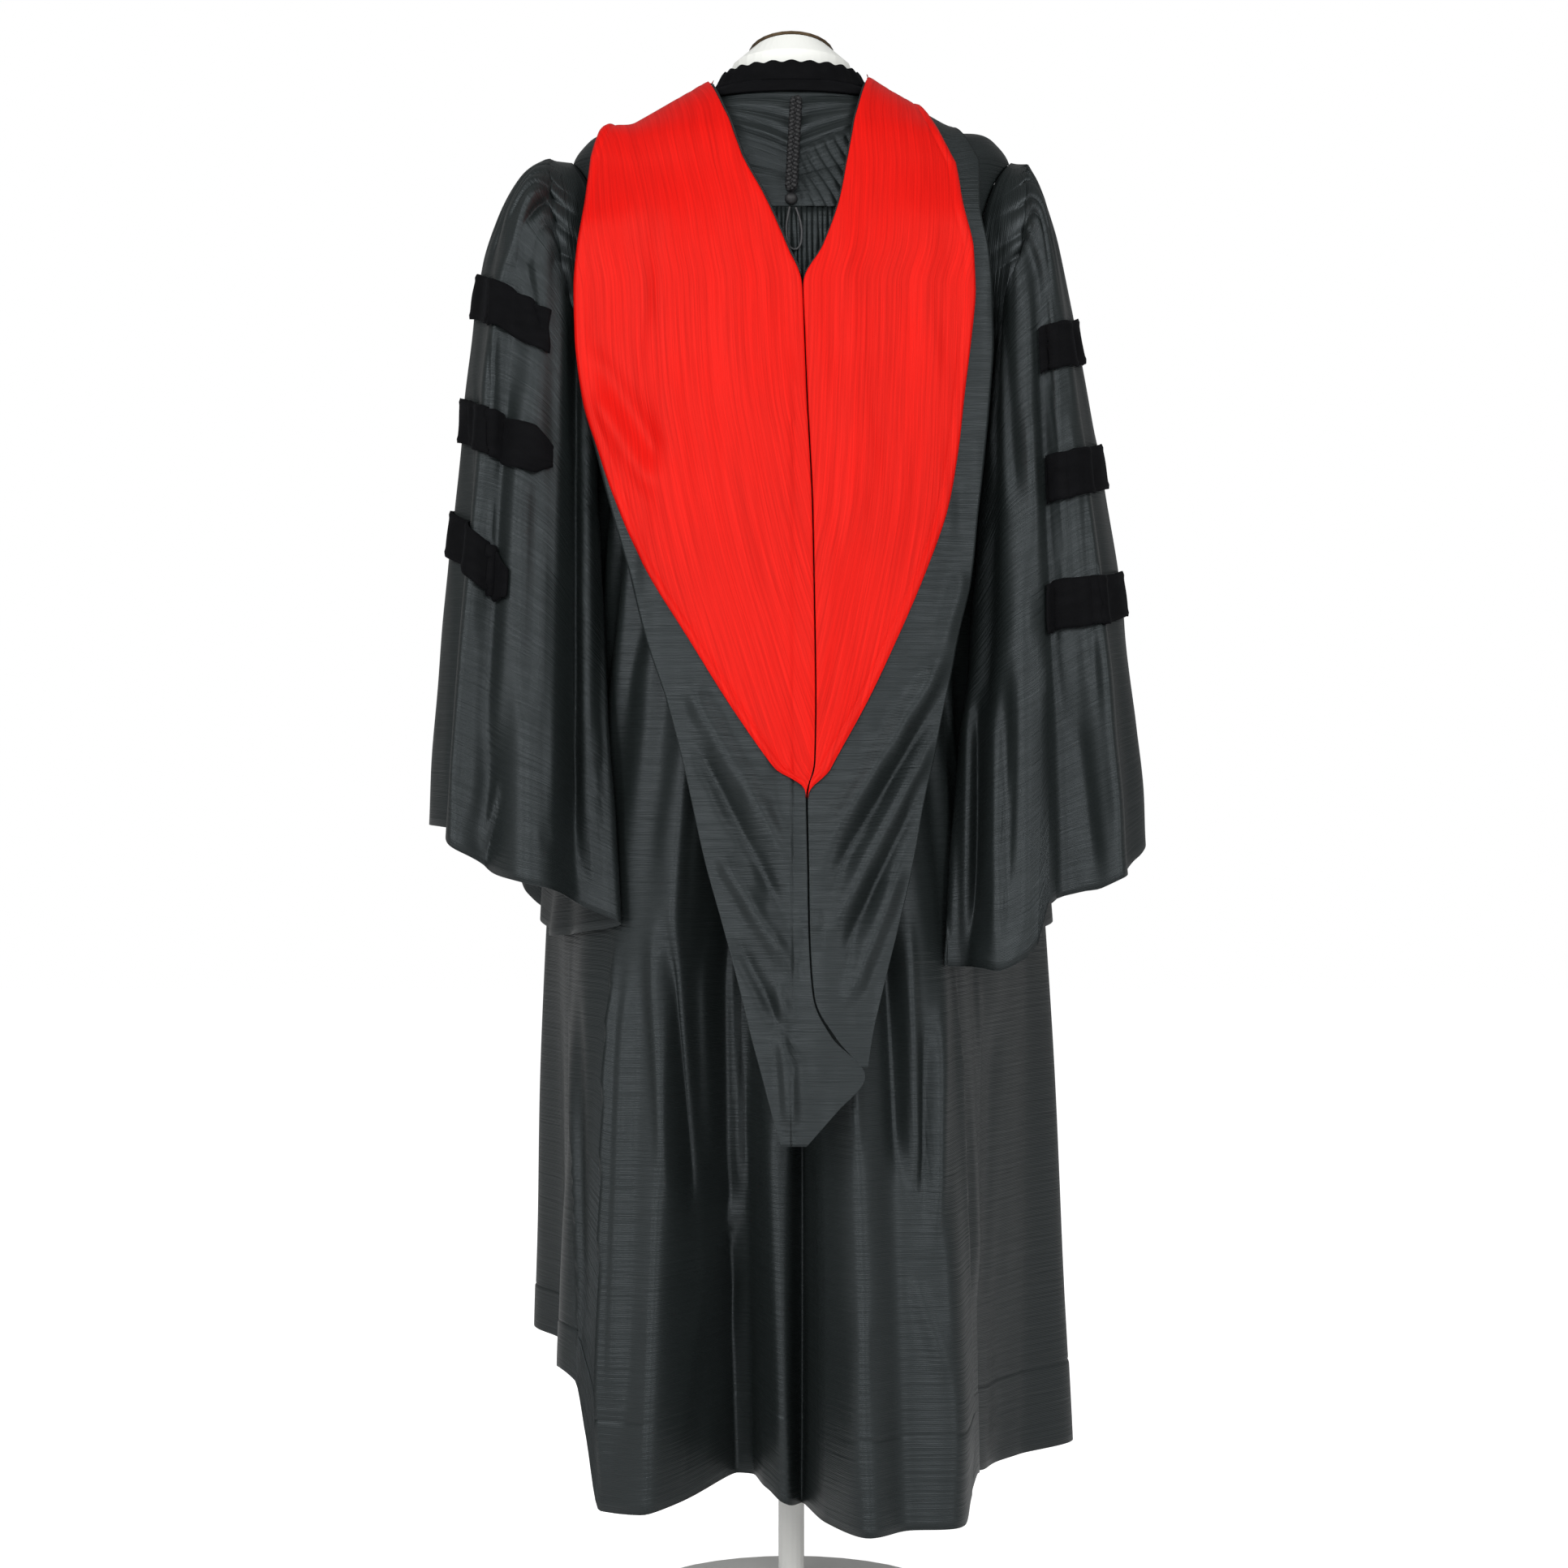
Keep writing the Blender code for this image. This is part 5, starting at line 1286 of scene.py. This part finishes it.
TIP_STARTS = 12.2
ROWS_BETWEEN = 9
ROWS_OVER_SHOULDER = 24
LEAVES_SHOULDER = 1.425
HANGS_FREE = 1.320
NECK_RISE = 0.013
HOOD_COLUMNS = 80
HOOD_OFF_YOKE = 0.0060
HOOD_OFF_COLLAR = 0.0050
HOOD_WIDER = 0.085
HOOD_ROUND = 2.2
TAIL_STANDS_OFF = 0.012
FOLD_REACH = 0.070
LINING_ROOM = 0.0012

# %% The hood's shape
def crest(x):
    """Height of the shoulder's top line at a distance from the middle."""
    above = BODY.column("height") >= YOKE_SEAM
    top = np.interp(-np.abs(x), -BODY.column("half_width")[above], BODY.column("height")[above])
    return top + NECK_RISE * ramp(np.abs(x), 0.108, 0.078)


def lift(x):
    """How far the hood's shell is above the gown, at a distance from the middle."""
    return HOOD_OFF_YOKE + HOOD_OFF_COLLAR * ramp(np.abs(x), 0.16, 0.09)


def hood_depth(x, z):
    """Distance of the hood behind the wearer's middle plane."""
    half = BODY.at("half_width", z) + lift(x) + HOOD_WIDER * ramp(z, 1.40, 1.33)
    swell = FOLD_REACH * growth(z) + TAIL_STANDS_OFF * ramp(z, 1.20, 0.90)
    back = BODY.at("back", z) + lift(x) + swell
    inside = np.clip(1.0 - np.abs(x / half) ** HOOD_ROUND, 0.0, 1.0)
    return back * inside ** (1.0 / HOOD_ROUND)


def back_angle(x, height):
    """The angle on the back where the body's plain section is as far from the middle as x."""
    half = BODY.at("half_width", height)
    share = np.clip(np.abs(x) / half, 0.0, 1.0)
    depth = BODY.at("back", height) * np.sqrt(1.0 - share ** 2)
    angle = np.degrees(np.arctan2(share * half, depth)) - gap_angle(height) * share
    return np.copysign(angle, x)


def hood_point(x, z):
    """The hood over a place: close on the shoulder, then free, bridging to the sleeves."""
    angle = back_angle(x, z)
    close = body_point(angle, z) + outward(angle, z) * lift(x)[..., None]
    free = clear_of_body(np.stack([x, -hood_depth(x, z), z], axis=-1), HOOD_OFF_YOKE)
    free[..., 2] += shoulder_rise(x, z)
    share = ramp(z, LEAVES_SHOULDER, HANGS_FREE)[..., None]
    return close * (1.0 - share) + free * share


def hood_grid(side, outer, last):
    """Points of the hood between its centre seam and one of its outer edges."""
    table = HOODS[side]
    share = np.linspace(0.0, 1.0, HOOD_COLUMNS + 1)
    places = np.linspace(1.0, last, int(last - 1) * ROWS_BETWEEN + 1)
    rows = []
    for place in (0.0, *places):
        seam = float(table.at("seam", place)) + SIGN[side] * 0.5 * GAP
        edge = float(table.at(outer, place))
        if outer == "lining":
            edge = edge + (seam - edge) * ramp(place, TIP_STARTS, last)
        first, final = (edge, seam) if side == "left" else (seam, edge)
        x = first + (final - first) * share
        if place == 0.0:
            top_x, top_z = x, crest(x)
            continue
        z = np.full(len(x), float(table.at("height", place)))
        if place == 1.0:
            for down in np.linspace(0.0, 1.0, ROWS_OVER_SHOULDER + 1)[:-1]:
                rows.append(hood_point(top_x + (x - top_x) * down, top_z + (z - top_z) * down))
        rows.append(hood_point(x, z))
    return np.array(rows)


HOOD_CREASES = (
    (-0.190, 1.210, -0.110, 1.085, 0.012, -0.0045),
    (-0.185, 1.165, -0.120, 1.060, 0.010, 0.0040),
    (-0.120, 1.380, -0.105, 1.000, 0.016, 0.0030),
    (-0.070, 1.330, -0.055, 0.950, 0.014, -0.0025),
    (0.060, 1.340, 0.055, 0.950, 0.014, 0.0030),
    (0.110, 1.340, 0.095, 0.990, 0.014, -0.0025),
    (0.146, 0.929, 0.026, 0.738, 0.0090, 0.0085),
    (0.139, 0.885, 0.029, 0.702, 0.0080, -0.0080),
    (0.128, 0.848, 0.033, 0.665, 0.0080, 0.0085),
    (0.114, 0.790, 0.044, 0.643, 0.0070, -0.0070),
    (0.099, 0.731, 0.048, 0.600, 0.0080, 0.0070),
    (0.157, 0.995, 0.135, 0.922, 0.0090, 0.0050),
    (-0.100, 0.900, 0.003, 0.720, 0.0100, 0.0075),
    (-0.092, 0.845, 0.000, 0.672, 0.0080, -0.0080),
    (-0.070, 0.745, 0.004, 0.625, 0.0080, 0.0080),
    (-0.052, 0.665, 0.006, 0.556, 0.0070, -0.0065),
    (-0.012, 0.630, 0.000, 0.482, 0.0070, 0.0070),
    (0.006, 0.683, 0.028, 0.675, 0.0035, 0.0030),
    (0.006, 0.668, 0.030, 0.662, 0.0030, -0.0030),
    (-0.018, 0.655, 0.008, 0.650, 0.0030, 0.0030),
    (-0.016, 0.642, 0.010, 0.634, 0.0030, -0.0025),
)


def hood_relief(grid):
    """Creases and soft unevenness, the same for the shell and the lining over it."""
    x, z = grid[..., 0], grid[..., 2]
    lines = creases(x, z, HOOD_CREASES)
    slow = 0.0020 * unevenness(x, z, (0.030, 0.16), 71) + 0.0008 * unevenness(
        x, z, (0.012, 0.05), 72)
    free = ramp(z, 1.42, 1.36)
    return (lines + slow * ramp(z, 1.38, 1.30)) * free + 0.0008 * free


def edge_distance(grid, column):
    """Metres across the cloth from one of its side edges, 0 or -1."""
    run = run_across(grid)
    return run if column == 0 else run[:, -1:] - run


def hood():
    made = {}
    for side in ("left", "right"):
        outer_column = 0 if side == "left" else -1
        shell = hood_grid(side, "shell", HOODS[side].rows[-1, 0])
        shell = shell + grid_normals(shell) * hood_relief(shell)[..., None]
        cloth("hood_shell_" + side + "_silk", shell, "faille", ("hood_shell_" + side,))
        under = hood_grid(side, "lining", LINING_LAST)
        normal = grid_normals(under)
        edge = edge_distance(under, outer_column)
        roll = 0.0014 * np.exp(-((edge - 0.0040) / 0.0030) ** 2)
        roll = roll - 0.0006 * np.exp(-((edge - 0.0092) / 0.0014) ** 2)
        seam = edge_distance(under, -1 - outer_column)
        groove = -0.0006 * np.exp(-(seam / 0.0030) ** 2)
        out = hood_relief(under) + CLOTH + LINING_ROOM + roll + groove
        lining = under + normal * out[..., None]
        cloth("hood_lining_" + side + "_silk", lining, "red_silk",
              ("hood_lining_" + side,))
        made[side] = lining
    return made


linings = hood()

# %% [markdown]
# ## Piping, braid and button
# A thin black piping edges the V of the hood at the back of the neck. The braid is three
# strands of cord plaited together, each swinging from side to side a third of a turn after
# the one before. Both are round tubes along a route, with closed, rounded ends.

# %% Tubes along a route
def tube_grid(route, radius, sides=10):
    """Rings of points along a route, drawn in to a rounded point at both ends."""
    route = np.asarray(route)
    along = np.gradient(route, axis=0)
    along /= np.linalg.norm(along, axis=1, keepdims=True)
    aside = np.cross(along, np.array([0.0, -1.0, 0.0]))
    aside /= np.maximum(np.linalg.norm(aside, axis=1, keepdims=True), 1e-9)
    upward = np.cross(aside, along)
    length = run_along(route)
    end = np.minimum(length, length[-1] - length) / radius
    size = radius * np.sqrt(np.clip(1.0 - (1.0 - np.clip(end, 0.0, 1.0)) ** 2, 0.0, 1.0))
    turn = np.linspace(0.0, 2.0 * math.pi, sides, endpoint=False)
    ring = (aside[:, None] * np.cos(turn)[None, :, None]
            + upward[:, None] * np.sin(turn)[None, :, None])
    return route[:, None] + ring * size[:, None, None]


def tubes(name, grids, finish, nodes=()):
    """One piece made of several tubes, welded at their points, with outward faces."""
    whole = bmesh.new()
    for grid in grids:
        part = mesh_of(name, grid, closed=True)
        whole.from_mesh(part)
        bpy.data.meshes.remove(part)
    bmesh.ops.remove_doubles(whole, verts=whole.verts, dist=0.00001)
    bmesh.ops.recalc_face_normals(whole, faces=whole.faces)
    mesh = bpy.data.meshes.new(name)
    whole.to_mesh(mesh)
    whole.free()
    mesh.shade_smooth()
    return show(name, mesh, finish, nodes)


# %% The braid
BRAID_TOP = 1.449
BRAID_FOOT = 1.3545
STRAND = 0.0023
PLAIT_HALF_WIDTH = 0.0038
PLAIT_HALF_DEPTH = 0.0024
PLAITS = 7.5


def hood_braid():
    share = np.linspace(0.0, 1.0, 260)
    z = BRAID_TOP + (BRAID_FOOT - BRAID_TOP) * share
    middle = 0.0045 - 0.0050 * share
    off = CLOTH + TUCK_DEPTH * TUCK_DEEPER + GAP + STRAND + PLAIT_HALF_DEPTH
    drawn_in = 1.0 - 0.55 * ramp(share, 0.96, 1.0) - 0.3 * ramp(share, 0.05, 0.0)
    grids = []
    for strand in range(3):
        phase = 2.0 * math.pi * (share * PLAITS + strand / 3.0)
        x = middle + PLAIT_HALF_WIDTH * np.sin(phase) * drawn_in
        lifted = off + PLAIT_HALF_DEPTH * np.sin(2.0 * phase)
        route = [back_surface(a, b, c) for a, b, c in zip(x, z, lifted)]
        grids.append(tube_grid(route, STRAND))
    tubes("braid_of_cord", grids, cord_finish("braid_silk", 420.0), ("hood_braid",))


hood_braid()

# %% The piping
PIPING = {"left": (0.00130, 0.00128), "right": (0.00091, 0.00080)}     # radius, place


def piping():
    """A cord along the inner edge of each half of the lining, from the neck down the V."""
    grids = []
    for side, column in (("left", -1), ("right", 0)):
        edge = linings[side][:, column]
        rows = edge[(edge[:, 2] > 1.270) & (edge[:, 2] < 1.4720)]
        radius, off = PIPING[side]
        grids.append(tube_grid(rows - [SIGN[side] * off, 0.0, 0.0], radius, 8))
    tubes("hood_piping", grids, cord_finish("piping_silk", 500.0))


piping()

# %% [markdown]
# ## The covered button
# A covered button is a domed mould with cloth drawn over it. A sphere is a good start: it is
# cut off flat at the back, pressed shallower, and the rim gets a small bevel.

# %% The covered button
def no_selection():
    if bpy.context.object and bpy.context.object.mode != "OBJECT":
        bpy.ops.object.mode_set(mode="OBJECT")
    bpy.ops.object.select_all(action="DESELECT")


def settle(piece, name, finish, nodes=()):
    """Put a hand-made piece's place into its mesh, and dress it."""
    no_selection()
    piece.select_set(True)
    bpy.context.view_layer.objects.active = piece
    bpy.ops.object.transform_apply(location=True, rotation=True, scale=True)
    piece.name = name
    piece.data.name = name
    piece.data.materials.clear()
    dress(piece, finish, nodes)


def button_finish():
    finish = Finish("button_silk", Metallic=0.0, Specular_IOR_Level=0.3)
    place = finish.node("TexCoord", output=3)
    weave = finish.noise(place, scale=2300.0, detail=2.0)
    finish.give("Base Color", finish.between(weave, (0.004, 0.004, 0.0045),
                                             (0.014, 0.014, 0.015)))
    finish.give("Roughness", 0.34 + weave * 0.2)
    finish.give("Normal", finish.relief(weave, 0.0002))
    return finish.material


def hood_button():
    seat = back_surface(-0.0004, BUTTON_HEIGHT, CLOTH + FAN_PLEAT + 2.0 * GAP + 0.0012)
    no_selection()
    bpy.ops.mesh.primitive_uv_sphere_add(segments=36, ring_count=18, radius=BUTTON_RADIUS,
                                         location=seat)
    piece = bpy.context.object
    bpy.ops.object.mode_set(mode="EDIT")
    bpy.ops.mesh.select_all(action="SELECT")
    bpy.ops.mesh.bisect(plane_co=seat, plane_no=(0.0, 1.0, 0.0), use_fill=True,
                        clear_outer=True)
    bpy.ops.mesh.select_all(action="SELECT")
    bpy.ops.transform.resize(value=(1.0, 0.82, 1.0), center_override=seat)
    bpy.ops.mesh.normals_make_consistent(inside=False)
    bpy.ops.object.mode_set(mode="OBJECT")
    bpy.ops.object.shade_smooth_by_angle(angle=math.radians(50.0))
    settle(piece, "covered_button", button_finish(), ("hood_button",))


hood_button()

# %% [markdown]
# ## The dress form
# The form is smooth and whole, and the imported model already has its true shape, so its pieces
# stay and only get their finishes.

# %% The dress form
for node, finish in (("form_torso", COVERING), ("form_neck_cap", PAINT),
                     ("form_cap_rim", BRONZE), ("form_knob", PAINT),
                     ("form_pole", PAINT), ("form_base", PAINT)):
    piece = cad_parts[node]
    if not piece.material_slots:
        piece.data.materials.append(finish)
    for place in piece.material_slots:
        place.material = finish

# %% [markdown]
# ## The studio
# The photograph was taken against bare white, so the floor is one wide pale plane, and all
# round it is white. Three large soft lights stand round the camera: one on each
# side, because light from the side is what draws folds in black silk, and the strongest in
# front. The floor glows for the camera, but throws little of that light on the cloth, because
# all of it would wash out the skirt.

# %% The studio
SWEEP_HALF = 9.0        # half the floor's width
SWEEP_GLOW = 0.80       # a lit floor, as under bare white paper
SWEEP_THROWS = (0.12, 0.12, 0.12)       # the share of its glow that reaches the cloth
ROUND_LIGHT = 0.28      # light from all round
SEEN_WHITE = 1.0        # what shows behind the gown


def sweep_finish():
    finish = Finish("sweep_paper", Metallic=0.0)
    place = finish.node("TexCoord", output=3)
    grain = finish.noise(place, scale=60.0, detail=3.0)
    finish.give("Base Color", finish.between(grain, (0.93, 0.93, 0.93), (0.96, 0.96, 0.96)))
    finish.give("Roughness", 0.85 + grain * 0.1)
    seen = finish.node("LightPath", output=0)
    finish.give("Emission Color", finish.between(seen, SWEEP_THROWS, (1.0, 1.0, 1.0)))
    finish.shader.inputs["Emission Strength"].default_value = SWEEP_GLOW
    return finish.material


def sweep():
    no_selection()
    bpy.ops.mesh.primitive_plane_add(size=2.0, location=(0.0, 0.0, 0.0))
    piece = bpy.context.object
    piece.scale = (SWEEP_HALF, SWEEP_HALF, 1.0)
    bpy.ops.object.transform_apply(location=False, rotation=False, scale=True)
    piece.name = "sweep"
    piece.data.materials.append(sweep_finish())


def soft_light(name, place, aim, size, power):
    no_selection()
    bpy.ops.object.light_add(type="AREA", location=place)
    lamp = bpy.context.object
    lamp.name = name
    lamp.data.shape = "RECTANGLE"
    lamp.data.size, lamp.data.size_y = size
    lamp.data.energy = power
    run = np.array(aim) - np.array(place)
    flat = math.hypot(run[0], run[1])
    lamp.rotation_euler = (math.atan2(flat, -run[2]), 0.0, math.atan2(-run[0], run[1]))


sweep()
soft_light("left_light", (-2.6, -2.4, 2.6), (0.0, 0.0, 1.0), (1.2, 2.2), 75.0)
soft_light("right_light", (2.4, -2.9, 2.6), (0.0, 0.0, 1.0), (1.2, 2.2), 75.0)
soft_light("front_light", (-0.5, -4.0, 2.6), (0.0, 0.0, 0.9), (1.6, 1.6), 95.0)

world = bpy.data.worlds.new("white")
world.use_nodes = True
backdrop = world.node_tree.nodes["Background"]
backdrop.inputs["Color"].default_value = (1.0, 1.0, 1.0, 1.0)
seen = world.node_tree.nodes.new("ShaderNodeLightPath")
level = world.node_tree.nodes.new("ShaderNodeMix")
level.inputs["A"].default_value = ROUND_LIGHT
level.inputs["B"].default_value = SEEN_WHITE
world.node_tree.links.new(seen.outputs["Is Camera Ray"], level.inputs["Factor"])
world.node_tree.links.new(level.outputs["Result"], backdrop.inputs["Strength"])
bpy.context.scene.world = world
bpy.context.scene.view_settings.view_transform = "Standard"
bpy.context.scene.view_settings.look = "None"
bpy.context.scene.view_settings.exposure = 0.0
bpy.context.scene.view_settings.gamma = 1.0
